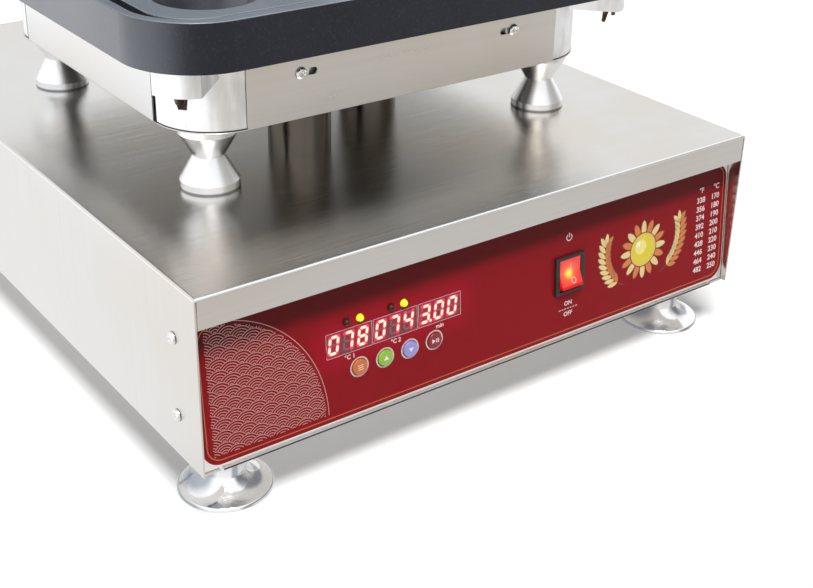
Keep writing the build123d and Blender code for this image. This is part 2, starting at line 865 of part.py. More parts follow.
def make_split_leg(length, direction):
    """One half-round leg that bends away from the pin's axis and narrows to its cut tip."""
    block = Rectangle(2 * split_pin_r, 2 * split_pin_r)
    half = Circle(split_pin_r) & Pos(direction * split_pin_r, 0) * block
    shift = length * sin(radians(leg_spread)) * direction
    tip = Pos(shift, 0, -length) * scale(half, leg_tip_share)
    return loft([half.face(), tip.face()])


def make_plate_pins():
    pins = []
    for side in (-1, 1):
        place = Pos(0, 0, unit_top - lug_thick) * corner_frame(side) * Pos(pin_place, 0, 0)
        pin = Cylinder(split_pin_r, lug_thick + pin_socket - seat_gap, align=LOW)
        pin += make_split_leg(leg_long, -1)
        pin += make_split_leg(leg_short, 1)
        pins.append(place * pin)
    return group(pins)


def make_lower_tray():
    tray = Pos(0, 0, tray_bottom) * make_tray(hinge_x)
    tray -= unit_bolt_holes(bolt_r + bolt_clear, tray_bottom - overrun, tray_bottom + overrun)
    for x, y in tube_places:
        tray -= upright(x, y, tray_bottom - overrun, tray_bottom + overrun, wire_hole_r)
    return tray


def element_points(z_path, z_end):
    x_in = -element_post_x
    x_out = -element_post_x - element_ends
    plan = [(x_in, element_front), (element_half_x, element_front), (element_half_x, element_second),
            (-element_inner_x, element_second), (-element_inner_x, element_third),
            (element_half_x, element_third), (element_half_x, element_rear), (-element_half_x, element_rear),
            (-element_half_x, element_front), (x_out, element_front)]
    path = [(x, y + unit_y, z_path) for x, y in plan]
    return [(x_in, element_front + unit_y, z_end)] + path + [(x_out, element_front + unit_y, z_end)]


def make_element():
    """Tubular element under the slab of a unit whose tray side is at z 0, with both ends turned down."""
    z_path = unit_height - body_slab - element_r - touch_gap
    points = element_points(z_path, z_path - element_drop)
    radii = [element_bend for point in points[1:-1]]
    radii[0] = radii[-1] = element_turn_down
    path = FilletPolyline(*points, radius=radii)
    return sweep(Plane(origin=path @ 0, z_dir=path % 0) * Circle(element_r), path=path)


def make_insulation():
    margin = body_recess + body_wall + seat_gap
    block = body_corner_block + seat_gap
    low = sheet
    high = min(sheet + insulation_t, unit_height - body_slab - 2 * element_r)
    wool = box_between(-unit_half_x + margin, unit_half_x - margin,
                       unit_front + block, unit_rear - block, low, high)
    wool += box_between(-unit_half_x + block, unit_half_x - block,
                        unit_front + margin, unit_rear - margin, low, high)
    for x, y in tube_places:
        wool -= upright(x, y, -overrun, high + overrun, wire_hole_r)
    for x in (-element_post_x, -element_post_x - element_ends):
        wool -= upright(x, element_front + unit_y, -overrun, high + overrun, element_r + seat_gap)
    return wool


def make_sensor():
    z = unit_height - body_slab - sensor_r - touch_gap
    probe = Pos(0, unit_y + sensor_y, z) * Rot(0, 90, 0) * Cylinder(sensor_r, sensor_length)
    return fillet(probe.edges().filter_by(GeomType.CIRCLE), sensor_r * sensor_round_share)


def unit_screws(hinge_center):
    """Screws in the slots of a unit's front flap and, at the rear, through the hinge flanges."""
    screws = []
    for side in (-1, 1):
        turn = Pos(side * slot_screw_x, unit_front, unit_height - slot_screw_drop) * Rot(90, 0, 0)
        screws.append(turn * pan_screw(small_screw_length))
        for offset in (-1, 1):
            x = side * hinge_center + offset * (flange_w / 2 - flange_bolt_inset)
            place = Pos(x, unit_rear + flange_t, (flange_low + flange_high) / 2)
            screws.append(place * Rot(-90, 0, 0) * pan_screw(small_screw_length + flange_t))
    return group(screws)


def make_mould_frame():
    frame = rounded_slab(plate_width, plate_depth, unit_top, plate_top, plate_corner_r)
    frame = fillet(frame.faces().sort_by(Axis.Z)[-1].edges(), frame_edge)
    frame -= rounded_slab(pocket_width, pocket_depth, unit_top + frame_floor,
                          plate_top + overrun, frame_pocket_r)
    for side in (-1, 1):
        socket = Pos(0, 0, unit_top) * corner_frame(side) * Pos(pin_place, 0, 0)
        frame -= socket * Cylinder(pin_hole_r, pin_socket, align=LOW)
    return frame


def cup_places():
    half_x = (cup_columns - 1) / 2
    half_y = (cup_rows - 1) / 2
    return [((column - half_x) * cup_pitch_x, unit_y + (row - half_y) * cup_pitch_y)
            for row in range(cup_rows) for column in range(cup_columns)]


def make_mould_plate():
    plate = rounded_slab(mould_width, mould_depth, unit_top + frame_floor, plate_top, mould_corner_r)
    plate = fillet(plate.faces().sort_by(Axis.Z)[-1].edges(), mould_edge)
    lip = cup_r + cup_slope * overrun
    cup = turned([(0, -cup_depth), (cup_floor_r, -cup_depth), (lip, overrun), (0, overrun)])
    cup = fillet(cup.edges().sort_by(Axis.Z)[0], cup_floor_fillet)
    for x, y in cup_places():
        plate -= Pos(x, y, plate_top) * cup
    return plate


def make_punch_plate():
    """Upper plate in its closed place, with a conical punch over each cup."""
    plate = rounded_slab(plate_width, plate_depth, lid_bottom, lid_body_bottom, plate_corner_r)
    plate = fillet(plate.faces().sort_by(Axis.Z)[0].edges(), frame_edge)
    tip_r = punch_r - cup_slope * punch_depth
    punch = turned([(0, -punch_depth), (tip_r, -punch_depth), (punch_r, 0), (0, 0)])
    punch = fillet(punch.edges().sort_by(Axis.Z)[0], punch_tip_fillet)
    for x, y in cup_places():
        plate += Pos(x, y, lid_bottom) * punch
    return plate


def flipped(piece):
    """Turn a unit piece over, so that its tray side faces up at the lid's top."""
    solids = [Pos(0, 0, lid_top) * solid.mirror(Plane.XY) for solid in piece.solids()]
    return solids[0] if len(solids) == 1 else group(solids)


def swung(y, z, angle):
    """A point beside the hinge axis after a turn about +X, in degrees."""
    c, s = cos(radians(angle)), sin(radians(angle))
    return y * c - z * s, y * s + z * c


def tangent_angle(y, z, turn):
    """Angle at which a line from a point touches the boss, on the side that the turn's sign names."""
    return atan2(z, y) + turn * acos(hinge_boss_r / hypot(y, z))


def arm_levels():
    """Lower and upper end of an arm's flange when closed, beside the hinge axis."""
    return lid_top - flange_high - hinge_z, lid_top - flange_low - hinge_z


def bracket_levels():
    return tray_bottom + flange_high - hinge_z, tray_bottom + flange_low - hinge_z


def stop_center():
    """Centre of the stop pin beside the hinge axis: the open arm's back edge rests just off it."""
    root = unit_rear - hinge_y
    top = arm_levels()[1]
    angle = tangent_angle(root, top, -1)
    y0, z0 = hinge_boss_r * cos(angle), hinge_boss_r * sin(angle)
    off_y, off_z = (stop_r + seat_gap) * cos(angle), (stop_r + seat_gap) * sin(angle)
    return swung(y0 + (root - y0) * stop_place_share + off_y, z0 + (top - z0) * stop_place_share + off_z,
                 -lid_open_angle)


def hinge_outline(near, far, turn):
    """Side view of a web: from its flange, between the near and far level, past the plate to the boss."""
    root = unit_rear - hinge_y
    angle = tangent_angle(root, far, turn)
    touch = (hinge_boss_r * cos(angle), hinge_boss_r * sin(angle))
    neck = (-hinge_behind + hinge_neck, near)
    web = make_face(Polyline((root, far), (root, near), neck, (-hinge_boss_r, 0), (0, 0), touch, close=True))
    return web + Circle(hinge_boss_r)


def stop_ear():
    y, z = stop_center()
    bar = Pos(y / 2, z / 2) * Rot(0, 0, degrees(atan2(z, y))) * Rectangle(hypot(y, z), 2 * stop_lobe_r)
    return bar + Pos(y, z) * Circle(stop_lobe_r)


def hinge_piece(side, inner, outline, near, far, bore_r):
    """A web beside the hinge axis with its bolted flange on the unit's rear face."""
    middle = side * (inner + hinge_web / 2)
    x0 = middle - hinge_web / 2
    piece = Pos(x0, hinge_y, hinge_z) * extrude(Plane.YZ * outline, hinge_web)
    low, high = sorted((near + hinge_z, far + hinge_z))
    piece += box_between(middle - flange_w / 2, middle + flange_w / 2,
                         unit_rear, unit_rear + flange_t, low, high)
    piece -= Pos(0, hinge_y, hinge_z) * Rot(0, 90, 0) * Cylinder(bore_r, base_width)
    for offset in (-1, 1):
        x = middle + offset * (flange_w / 2 - flange_bolt_inset)
        hole = Pos(x, unit_rear, (low + high) / 2) * Rot(90, 0, 0)
        piece -= hole * Cylinder(small_screw_r + seat_gap, 2 * (flange_t + overrun))
    return piece


def make_hinge_bracket(side):
    near, far = bracket_levels()
    outline = hinge_outline(near, far, 1) + stop_ear()
    piece = hinge_piece(side, hinge_x - hinge_web / 2, outline, near, far, hinge_pin_r + fixed_gap)
    y, z = stop_center()
    stop_hole = Rot(0, 90, 0) * Cylinder(stop_r + fixed_gap, base_width)
    return piece - Pos(0, hinge_y + y, hinge_z + z) * stop_hole


def arm_inner():
    return hinge_x - hinge_web / 2 - hinge_side_gap - hinge_web


def make_hinge_arm(side):
    near, far = arm_levels()
    outline = hinge_outline(near, far, -1)
    return hinge_piece(side, arm_inner(), outline, near, far, hinge_pin_r + bush_wall + fixed_gap)


def make_hinge_pin():
    half = hinge_x + hinge_web / 2 + hinge_pin_end
    pin = Rot(0, 90, 0) * Cylinder(hinge_pin_r, 2 * half)
    pin = chamfer(pin.edges().filter_by(GeomType.CIRCLE), hinge_pin_chamfer)
    for side in (-1, 1):
        middle = side * (hinge_x + hinge_web / 2 + touch_gap + hinge_collar_t / 2)
        pin += Pos(middle, 0, 0) * Rot(0, 90, 0) * Cylinder(hinge_collar_r, hinge_collar_t)
    return Pos(0, hinge_y, hinge_z) * pin


def make_hinge_bushes():
    bushes = []
    for side in (-1, 1):
        middle = side * (arm_inner() + hinge_web / 2)
        ring = Cylinder(hinge_pin_r + bush_wall, hinge_web) - Cylinder(hinge_pin_r + run_gap, hinge_web)
        bushes.append(Pos(middle, hinge_y, hinge_z) * Rot(0, 90, 0) * ring)
    return group(bushes)


def make_lid_stops():
    y, z = stop_center()
    stops = []
    for side in (-1, 1):
        outer = hinge_x + hinge_web / 2
        length = hinge_web + stop_reach
        middle = side * (outer - length / 2)
        pin = Rot(0, 90, 0) * Cylinder(stop_r, length)
        pin = chamfer(pin.edges().filter_by(GeomType.CIRCLE), stop_chamfer)
        stops.append(Pos(middle, hinge_y + y, hinge_z + z) * pin)
    return group(stops)


def handle_level():
    return lid_body_bottom + handle_height


def make_handle_bar():
    half = handle_half
    z = handle_level()
    front = unit_front - handle_reach
    points = [(-half, unit_front, z), (-half, front, z), (half, front, z), (half, unit_front, z)]
    path = FilletPolyline(*points, radius=handle_bend)
    bar = sweep(Plane(origin=path @ 0, z_dir=path % 0) * Circle(handle_rod_r), path=path)
    for side in (-1, 1):
        seat = Pos(side * half, unit_front - handle_flange_t / 2, z) * Rot(90, 0, 0)
        bar += seat * Cylinder(handle_flange_r, handle_flange_t)
    return bar


def make_handle_grip():
    half = grip_length / 2
    with BuildSketch(Plane.XZ) as section:
        with BuildLine():
            Polyline((handle_rod_r, -half), (grip_r, -half))
            ThreePointArc((grip_r, -half), (grip_waist_r, 0), (grip_r, half))
            Polyline((grip_r, half), (handle_rod_r, half), (handle_rod_r, -half))
        make_face()
    grip = revolve(section.sketch, Axis.Z)
    rims = grip.edges().filter_by(GeomType.CIRCLE).filter_by(lambda edge: edge.radius > grip_waist_r)
    grip = fillet(rims, grip_round)
    return Pos(0, unit_front - handle_reach, handle_level()) * Rot(0, 90, 0) * grip


def make_lid_gland():
    z = lid_top - unit_height / 2
    return Pos(0, unit_rear, z) * Rot(-90, 0, 0) * make_gland()


def make_upper_cover():
    cover = flipped(make_tray(arm_inner() + hinge_web / 2))
    hole = Pos(0, unit_rear, lid_top - unit_height / 2) * Rot(90, 0, 0)
    return cover - hole * Cylinder(gland_thread_r + seat_gap, 2 * overrun)


def make_upper_heater_body():
    body = flipped(make_heater_body(arm_inner() + hinge_web / 2))
    pocket = Pos(0, unit_rear + overrun, lid_top - unit_height / 2) * Rot(90, 0, 0)
    depth = body_recess + body_wall + 2 * overrun
    return body - pocket * Cylinder(gland_thread_r + seat_gap, depth, align=LOW)


def lower(piece):
    return placed(Pos(0, 0, tray_bottom), piece)


def fixed_parts():
    parts = {
        "base_hood": make_base_hood(),
        "front_panel": make_front_panel(),
        "panel_overlay": make_panel_overlay(),
        "rear_panel": make_rear_panel(),
        "base_plate": make_base_plate(),
        "case_screws": make_case_screws(),
        "foot_front_left": make_foot(-foot_x, foot_inset_y),
        "foot_front_right": make_foot(foot_x, foot_inset_y),
        "foot_rear_left": make_foot(-foot_x, base_depth - foot_inset_y),
        "foot_rear_right": make_foot(foot_x, base_depth - foot_inset_y),
        "foot_bolts": make_foot_bolts(),
        "post_front_left": make_post(-post_x, post_front_y),
        "post_front_right": make_post(post_x, post_front_y),
        "post_rear_left": make_post(-post_x, post_rear_y),
        "post_rear_right": make_post(post_x, post_rear_y),
        "post_bolts": make_post_bolts(),
        "wiring_tube_front": make_wiring_tube(*tube_places[0]),
        "wiring_tube_rear": make_wiring_tube(*tube_places[1]),
        "control_board": make_control_board(),
        "board_spacers": make_board_spacers(),
        "indicator_leds": make_indicator_leds(),
        "switch_bezel": make_switch_bezel(),
        "switch_rocker": make_switch_rocker(),
        "heater_relays": make_heater_relays(),
        "transformer": make_transformer(),
        "terminal_block": make_terminal_block(),
        "base_glands": make_base_glands(),
        "lower_tray": make_lower_tray(),
        "lower_heater_body": make_lower_heater_body(),
        "lower_element": lower(make_element()),
        "lower_insulation": lower(make_insulation()),
        "lower_sensor": lower(make_sensor()),
        "lower_tray_screws": lower(unit_screws(hinge_x)),
        "lower_mould_frame": make_mould_frame(),
        "lower_mould_plate": make_mould_plate(),
        "plate_pins": make_plate_pins(),
        "hinge_bracket_left": make_hinge_bracket(-1),
        "hinge_bracket_right": make_hinge_bracket(1),
        "hinge_pin": make_hinge_pin(),
        "lid_stops": make_lid_stops(),
    }
    display_names = ("temperature_display_1", "temperature_display_2", "timer_display")
    for name, u in zip(display_names, display_places()):
        parts[name] = make_display(u)
    for name, u in zip(button_names, button_places()):
        parts[name] = make_button(u)
    return parts


def lid_parts():
    """The pieces of the upper unit, in the closed place."""
    return {
        "upper_punch_plate": make_punch_plate(),
        "upper_heater_body": make_upper_heater_body(),
        "upper_element": flipped(make_element()),
        "upper_insulation": flipped(make_insulation()),
        "upper_sensor": flipped(make_sensor()),
        "upper_cover": make_upper_cover(),
        "upper_cover_screws": flipped(unit_screws(arm_inner() + hinge_web / 2)),
        "hinge_arm_left": make_hinge_arm(-1),
        "hinge_arm_right": make_hinge_arm(1),
        "hinge_bushes": make_hinge_bushes(),
        "handle_bar": make_handle_bar(),
        "handle_grip": make_handle_grip(),
        "lid_gland": make_lid_gland(),
    }


def build_all():
    """Every node at rest, centred over the origin with the feet standing on z 0."""
    parts = fixed_parts()
    axis = Pos(0, hinge_y, hinge_z)
    swing = axis * Rot(-lid_open_angle, 0, 0) * axis.inverse()
    for name, piece in lid_parts().items():
        parts[name] = placed(swing, piece)
    boxes = [piece.bounding_box() for piece in parts.values()]
    front = min(box.min.Y for box in boxes)
    rear = max(box.max.Y for box in boxes)
    shift = -(front + rear) / 2
    return {name: placed(Pos(0, shift, 0), piece) for name, piece in parts.items()}, shift


if __name__ == "__main__":
    os.makedirs("parts", exist_ok=True)
    nodes, centre_shift = build_all()
    for node_name, node_piece in nodes.items():
        export_step(node_piece, f"parts/{node_name}.step")
    print(len(nodes), "nodes, shifted along Y by", round(centre_shift, 3))
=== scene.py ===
import math
from functools import partial

import bmesh
import bpy
from bpy.props import FloatProperty, FloatVectorProperty, PointerProperty, StringProperty
from mathutils import Matrix, Vector
from mathutils.bvhtree import BVHTree


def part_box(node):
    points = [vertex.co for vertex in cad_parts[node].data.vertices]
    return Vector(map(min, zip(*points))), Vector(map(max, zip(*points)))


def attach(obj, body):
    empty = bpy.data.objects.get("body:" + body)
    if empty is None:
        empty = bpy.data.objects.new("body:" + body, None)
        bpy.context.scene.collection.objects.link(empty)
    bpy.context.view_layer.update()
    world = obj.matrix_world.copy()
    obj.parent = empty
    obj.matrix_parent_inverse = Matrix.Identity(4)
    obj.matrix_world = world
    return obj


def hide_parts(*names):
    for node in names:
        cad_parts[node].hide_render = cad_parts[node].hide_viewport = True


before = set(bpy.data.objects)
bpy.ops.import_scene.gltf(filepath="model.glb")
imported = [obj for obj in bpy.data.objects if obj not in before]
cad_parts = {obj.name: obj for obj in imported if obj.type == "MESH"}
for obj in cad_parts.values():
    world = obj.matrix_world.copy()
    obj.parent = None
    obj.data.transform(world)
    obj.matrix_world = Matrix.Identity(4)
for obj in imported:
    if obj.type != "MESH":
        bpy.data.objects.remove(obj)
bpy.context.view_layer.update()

bl_info = {
    "name": "Tartlet maker",
    "version": (1, 0, 0),
    "blender": (4, 5, 0),
    "location": "View3D > Sidebar > Tartlet maker",
    "description": "Finishes, printed panel, displays and studio for a countertop tartlet maker",
    "category": "Object",
}

MM = 0.001


# Finishes

class Flow:
    """A value in a node tree, so that its arithmetic reads as Python arithmetic."""

    def __init__(self, shading, socket):
        self.shading = shading
        self.socket = socket

    def worked(self, kind, first, second):
        return self.shading.node("ShaderNodeMath", {"operation": kind}, {0: first, 1: second})

    def __add__(self, other):
        return self.worked("ADD", self, other)

    __radd__ = __add__

    def __sub__(self, other):
        return self.worked("SUBTRACT", self, other)

    def __rsub__(self, other):
        return self.worked("SUBTRACT", other, self)

    def __mul__(self, other):
        return self.worked("MULTIPLY", self, other)

    def __gt__(self, other):
        return self.worked("GREATER_THAN", self, other)

    def __lt__(self, other):
        return self.worked("LESS_THAN", self, other)

    def __abs__(self):
        return self.worked("ABSOLUTE", self, 0.0)


class Shading:
    """A node tree, and short ways to build what varies in it."""

    def __init__(self, tree):
        self.tree = tree

    def node(self, kind, settings=None, sockets=None, out=0):
        made = self.tree.nodes.new(kind)
        for name, value in (settings or {}).items():
            setattr(made, name, value)
        for name, value in (sockets or {}).items():
            self.feed(made.inputs[name], value)
        return Flow(self, made.outputs[out])

    def feed(self, socket, value):
        if isinstance(value, Flow):
            self.tree.links.new(value.socket, socket)
        elif hasattr(value, "__len__") and len(value) == 3 and socket.type == "RGBA":
            socket.default_value = (*value, 1.0)
        else:
            socket.default_value = value

    def place(self):
        return self.node("ShaderNodeTexCoord", out="Object")

    def facing(self):
        return self.node("ShaderNodeTexCoord", out="Normal")

    def ray(self, kind):
        return self.node("ShaderNodeLightPath", out=kind)

    def part(self, vector, axis):
        return self.node("ShaderNodeSeparateXYZ", None, {0: vector}, out=axis)

    def along(self, axis):
        """Place along an axis, in metres."""
        return self.part(self.place(), axis)

    def looks(self, axis):
        """How far a face looks along an axis, from -1 to 1."""
        return self.part(self.facing(), axis)

    def far_from(self, point):
        offset = self.node("ShaderNodeVectorMath", {"operation": "SUBTRACT"}, {0: self.place(), 1: point})
        return self.node("ShaderNodeVectorMath", {"operation": "LENGTH"}, {0: offset}, out="Value")

    def noise(self, scale, detail=3.0, rough=0.55, vector=None):
        """Soft patches, as values round 0.5, by place or by another vector."""
        sockets = {"Vector": vector or self.place(), "Scale": scale, "Detail": detail, "Roughness": rough}
        return self.node("ShaderNodeTexNoise", None, sockets)

    def streaks(self, lines, detail=2.0):
        """Noise with its own number of lines per metre along X, Y and Z."""
        drawn = self.node("ShaderNodeVectorMath", {"operation": "MULTIPLY"}, {0: self.place(), 1: lines})
        return self.noise(1.0, detail, vector=drawn)

    def between(self, share, first, second):
        """Colour that goes from first to second with the share."""
        made = self.tree.nodes.new("ShaderNodeMix")
        made.data_type = "RGBA"
        self.feed(made.inputs[0], share)
        self.feed(made.inputs[6], first)
        self.feed(made.inputs[7], second)
        return Flow(self, made.outputs[2])

    def step(self, value, low, high):
        """0 below low, 1 above high, and smooth between."""
        return self.node("ShaderNodeMapRange", {"interpolation_type": "SMOOTHSTEP"},
                         {"Value": value, "From Min": low, "From Max": high})


class Finish(Shading):
    """A material with one Principled shader."""

    def __init__(self, name, **fixed):
        self.material = bpy.data.materials.new(name)
        self.material.use_nodes = True
        super().__init__(self.material.node_tree)
        self.shader = next(n for n in self.tree.nodes if n.type == "BSDF_PRINCIPLED")
        for socket, value in fixed.items():
            label = socket.replace("_", " ").title().replace("Ior", "IOR")
            self.set(label, value)

    def set(self, socket, value):
        self.feed(self.shader.inputs[socket], value)

    def mottle(self, color, low, scale, detail=2.0, socket="Base Color"):
        """A colour that dims in soft patches to the share low of itself."""
        patch = self.noise(scale, detail)
        self.set(socket, self.between(patch, [c * low for c in color], color))
        return patch

    def bump(self, height, distance, strength=1.0):
        self.set("Normal", self.node("ShaderNodeBump", None,
                                     {"Height": height, "Distance": distance, "Strength": strength}))
        return self


# Lines of the broad streaks, as a share of the fine ones
BROAD_SHARE = 0.16


def brushed_finish(name, color, rough, grain, fold=None, depth=0.00005, under=None, cut=None):
    """Brushed sheet with a painted highlight on its front bends, and stained most on its level faces.

    grain holds its lines per metre, fold those of faces that look along X. under is the painted shade colour
    of faces that look down, cut that of faces that look forward.
    """
    finish = Finish(name, metallic=1.0)
    facing_y, facing_z = finish.looks("Y"), finish.looks("Z")
    lines = finish.streaks(grain)
    broad = finish.streaks([g * BROAD_SHARE for g in grain])
    if fold:
        side = abs(finish.looks("X")) > 0.6
        fold_lines = finish.streaks(fold)
        fold_broad = finish.streaks([f * BROAD_SHARE for f in fold])
        lines = lines + side * (fold_lines - lines)
        broad = broad + side * (fold_broad - broad)
    cloud = finish.noise(9.0, 2.0)
    tone = finish.between(lines * 0.3 + broad * 0.35 + cloud * 0.35, [c * 0.88 for c in color],
                          [min(1.0, c * 1.1) for c in color])
    lying = finish.step(facing_z, 0.7, 0.9)
    stain = finish.step(finish.noise(5.5, 4.0), 0.42, 0.7) * (0.35 + lying * 0.45)
    tone = finish.between(stain, tone, [color[0] * 0.97, color[1] * 0.89, color[2] * 0.79])
    # Painted highlight: faces that look both up and forward, at the front bends, turn white.
    painted_bend_highlight = finish.step(facing_z * (0 - facing_y), 0.15, 0.35)
    tone = finish.between(painted_bend_highlight, tone, (1.0, 1.0, 1.0))
    # Painted shade: faces that look down take the darker colour under.
    if under:
        tone = finish.between(facing_z < -0.6, tone, under)
    # Painted shade: faces that look forward take the dark colour cut.
    if cut:
        tone = finish.between(facing_y < -0.7, tone, cut)
    finish.set("Base Color", tone)
    finish.set("Roughness", rough - 0.08 + broad * 0.1 + cloud * 0.06)
    return finish.bump(lines, depth)


def turned_finish(name, color, rough, foot=-1.0):
    """Lathe-turned metal with fine rings round a vertical axis, and a painted contact shadow at the height
    foot.
    """
    finish = Finish(name, metallic=1.0)
    rings = finish.streaks((6.0, 6.0, 1500.0))
    coarse = finish.streaks((14.0, 14.0, 160.0))
    tone = finish.between(coarse * 0.7 + rings * 0.3, [c * 0.93 for c in color], color)
    # Painted contact shadow: a dark line just above the foot.
    painted_contact_shade = 1 - finish.step(finish.along("Z"), foot + 0.0006, foot + 0.002)
    finish.set("Base Color", finish.between(painted_contact_shade, tone, [c * 0.3 for c in color]))
    finish.set("Roughness", rough + rings * 0.06)
    return finish.bump(rings, 0.000004)


def cast_finish(name, color, rough):
    """Ground casting: soft cloudiness, upright streaks and fine grain."""
    finish = Finish(name, metallic=1.0)
    grain = finish.streaks((500.0, 500.0, 40.0), 3.0)
    streak = finish.streaks((75.0, 75.0, 14.0), 3.0)
    cloud = finish.noise(30.0, 3.0)
    drawn = finish.step(cloud * 0.4 + streak * 0.6, 0.36, 0.6)
    finish.set("Base Color", finish.between(drawn, [c * 0.76 for c in color], color))
    finish.set("Roughness", rough + cloud * 0.12 + grain * 0.08)
    return finish.bump(grain + streak, 0.00006)


def coated_finish(name, color, rough):
    """Non-stick coating: dark, with a fine orange-peel speckle, and a painted sheen: lighter and glossier on
    its upper faces, and a little so on its left side."""
    finish = Finish(name, specular_ior_level=0.4, coat_roughness=0.22)
    speck = finish.noise(520.0, 3.0, 0.8)
    cloud = finish.noise(14.0, 2.0)
    bright = finish.step(speck, 0.52, 0.75)
    tone = finish.between(bright * 0.6 + cloud * 0.15, color, [c * 5.5 for c in color])
    # Painted sheen: upper and left faces turn a lighter blue grey, with more coat, in soft patches, in place
    # of reflections.
    sheen_patchiness = 0.65 + cloud * 0.5
    painted_top_sheen = finish.step(finish.looks("Z"), 0.35, 0.95) * sheen_patchiness
    painted_left_sheen = finish.step(0 - finish.looks("X"), 0.55, 0.95) * sheen_patchiness
    painted_sheen_grey = (0.26, 0.288, 0.335)
    finish.set("Base Color", finish.between(painted_left_sheen * 0.25 + painted_top_sheen, tone, painted_sheen_grey))
    finish.set("Coat Weight", painted_top_sheen + painted_left_sheen * 0.75)
    finish.set("Roughness", rough + cloud * 0.08)
    return finish.bump(speck, 0.00016, 0.8)


def pin_finish(name, color, tip, tip_color):
    """Burnt dark pins whose cut ends are bare metal below the height tip."""
    finish = Finish(name, metallic=0.8)
    burnt = finish.noise(420.0, 3.0)
    bare = 1 - finish.step(finish.along("Z") + burnt * 0.002, tip, tip + 0.0012)
    body = finish.between(finish.step(burnt, 0.5, 0.72), color, [c * 7 for c in color])
    finish.set("Base Color", finish.between(bare, body, tip_color))
    finish.set("Roughness", 0.25 + burnt * 0.2)
    return finish.bump(burnt, 0.0004)


def plastic_finish(name, color, rough, grain=900.0, coat=0.0):
    """Moulded plastic or lacquer with a very fine grain."""
    finish = Finish(name, coat_weight=coat)
    fine = finish.noise(grain, 2.0)
    finish.mottle(color, 0.88, 40.0)
    finish.set("Roughness", rough + fine * 0.1)
    return finish.bump(fine, 0.00003, 0.5)


def chrome_finish(name, color):
    """Bright metal with a soft haze."""
    finish = Finish(name, metallic=1.0)
    haze = finish.mottle(color, 0.96, 60.0, 3.0)
    finish.set("Roughness", 0.16 + haze * 0.1)
    return finish


def foot_finish(name, color, deep):
    """Chromed bell foot with a painted bright stripe in front, and painted shade beside it and up top."""
    finish = Finish(name, metallic=1.0)
    sway = finish.noise(45.0, 1.0) * 0.24 - 0.12
    across = finish.looks("X") * 0.79 - finish.looks("Y") * 0.61 + sway
    # Painted reflection: a bright stripe in front and a lighter edge, rim, further round; deep is their
    # painted shade.
    painted_front_highlight = finish.step(across, -0.5, -0.12) * (1 - finish.step(across, 0.4, 0.52))
    rim = finish.step(across, 0.62, 0.72) * 0.7
    # Painted shade up at the top of the foot.
    painted_neck_shade = finish.step(finish.along("Z"), 0.014, 0.034) * 0.8
    finish.set("Base Color", finish.between((painted_front_highlight + rim) * (1 - painted_neck_shade), deep, color))
    finish.set("Roughness", 0.08 + finish.noise(60.0, 3.0) * 0.06)
    return finish


def print_finish(name, color, rough=0.35):
    """Printing ink on the film."""
    finish = Finish(name)
    finish.mottle(color, 0.85, 700.0)
    finish.set("Roughness", rough)
    return finish


def glow_finish(name, color, strength):
    """A lit segment or its halo."""
    finish = Finish(name, base_color=(0.02, 0.0, 0.0), roughness=0.4, emission_strength=strength)
    finish.mottle(color, 0.92, 300.0, 1.0, "Emission Color")
    return finish


def film_finish(settings):
    """The printed red film: a painted glow of the displays in it, and painted shade darker up under the lip.
    """
    finish = Finish("panel_film", specular_ior_level=0.12, emission_strength=1.0)
    mottle = finish.noise(120.0, 3.0)
    # Painted glow: the film round the middle display glows faintly red.
    low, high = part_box("temperature_display_2")
    centre = (low + high) / 2
    beside = finish.step(abs(finish.along("X") - centre.x), 0.05, 0.078)
    over = finish.step(abs(finish.along("Z") - centre.z), 0.006, 0.026)
    glow = (1 - beside) * (1 - over)
    finish.set("Emission Color", finish.between(glow, (0.0, 0.0, 0.0), (0.1, 0.0, 0.008)))
    red = finish.between(mottle, [c * 0.9 for c in settings.film], settings.film)
    # Painted shade: the film turns darker in a band up under the lip.
    shade_low, shade_high = FILM.point(0, 78).z, FILM.point(0, 90).z
    lip = finish.step(finish.along("Z"), shade_low, shade_high)
    finish.set("Base Color", finish.between(lip * 0.6, red, (0.045, 0.003, 0.003)))
    finish.set("Roughness", 0.3 + mottle * 0.06)
    return finish.bump(finish.noise(260.0, 1.0), 0.00002, 0.5)


def display_finish(name):
    """Smoked red window of a display, with a faint painted glow."""
    finish = Finish(name, coat_weight=0.3, emission_strength=1.0)
    cloud = finish.noise(90.0, 2.0)
    finish.set("Base Color", finish.between(cloud, (0.075, 0.016, 0.018), (0.1, 0.022, 0.026)))
    # Painted glow of the window.
    finish.set("Emission Color", finish.between(cloud, (0.06, 0.002, 0.006), (0.09, 0.003, 0.009)))
    finish.set("Roughness", 0.25 + cloud * 0.05)
    return finish


def rocker_finish(settings):
    """Clear red rocker with a lamp that shines through it, left of its middle and a little above."""
    u, v = middle_of("switch_bezel")
    left, above = 1.6, 1.2
    lamp = Sheet(0.0, "switch_rocker").point(u - left, v + above)
    finish = Finish("lit_rocker", roughness=0.22, coat_weight=0.5, emission_strength=1.0)
    far = finish.far_from(lamp)
    core = 1 - finish.step(far, 0.001, 0.0055)
    halo = 1 - finish.step(far, 0.002, 0.012)
    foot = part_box("switch_rocker")[0].z
    down = 1 - finish.step(finish.along("Z"), foot + 0.0022, foot + 0.0036)
    glow = finish.between(halo, (0.34, 0.006, 0.003), (0.8, 0.09, 0.02))
    glow = finish.between(down, glow, (0.5, 0.0, 0.002))
    red = finish.between(halo, (0.6, 0.03, 0.025), (0.7, 0.07, 0.04))
    finish.set("Base Color", finish.between(down, red, (0.2, 0.0, 0.0)))
    finish.set("Emission Color", finish.between(core, glow, settings.lamp))
    return finish


# Shapes

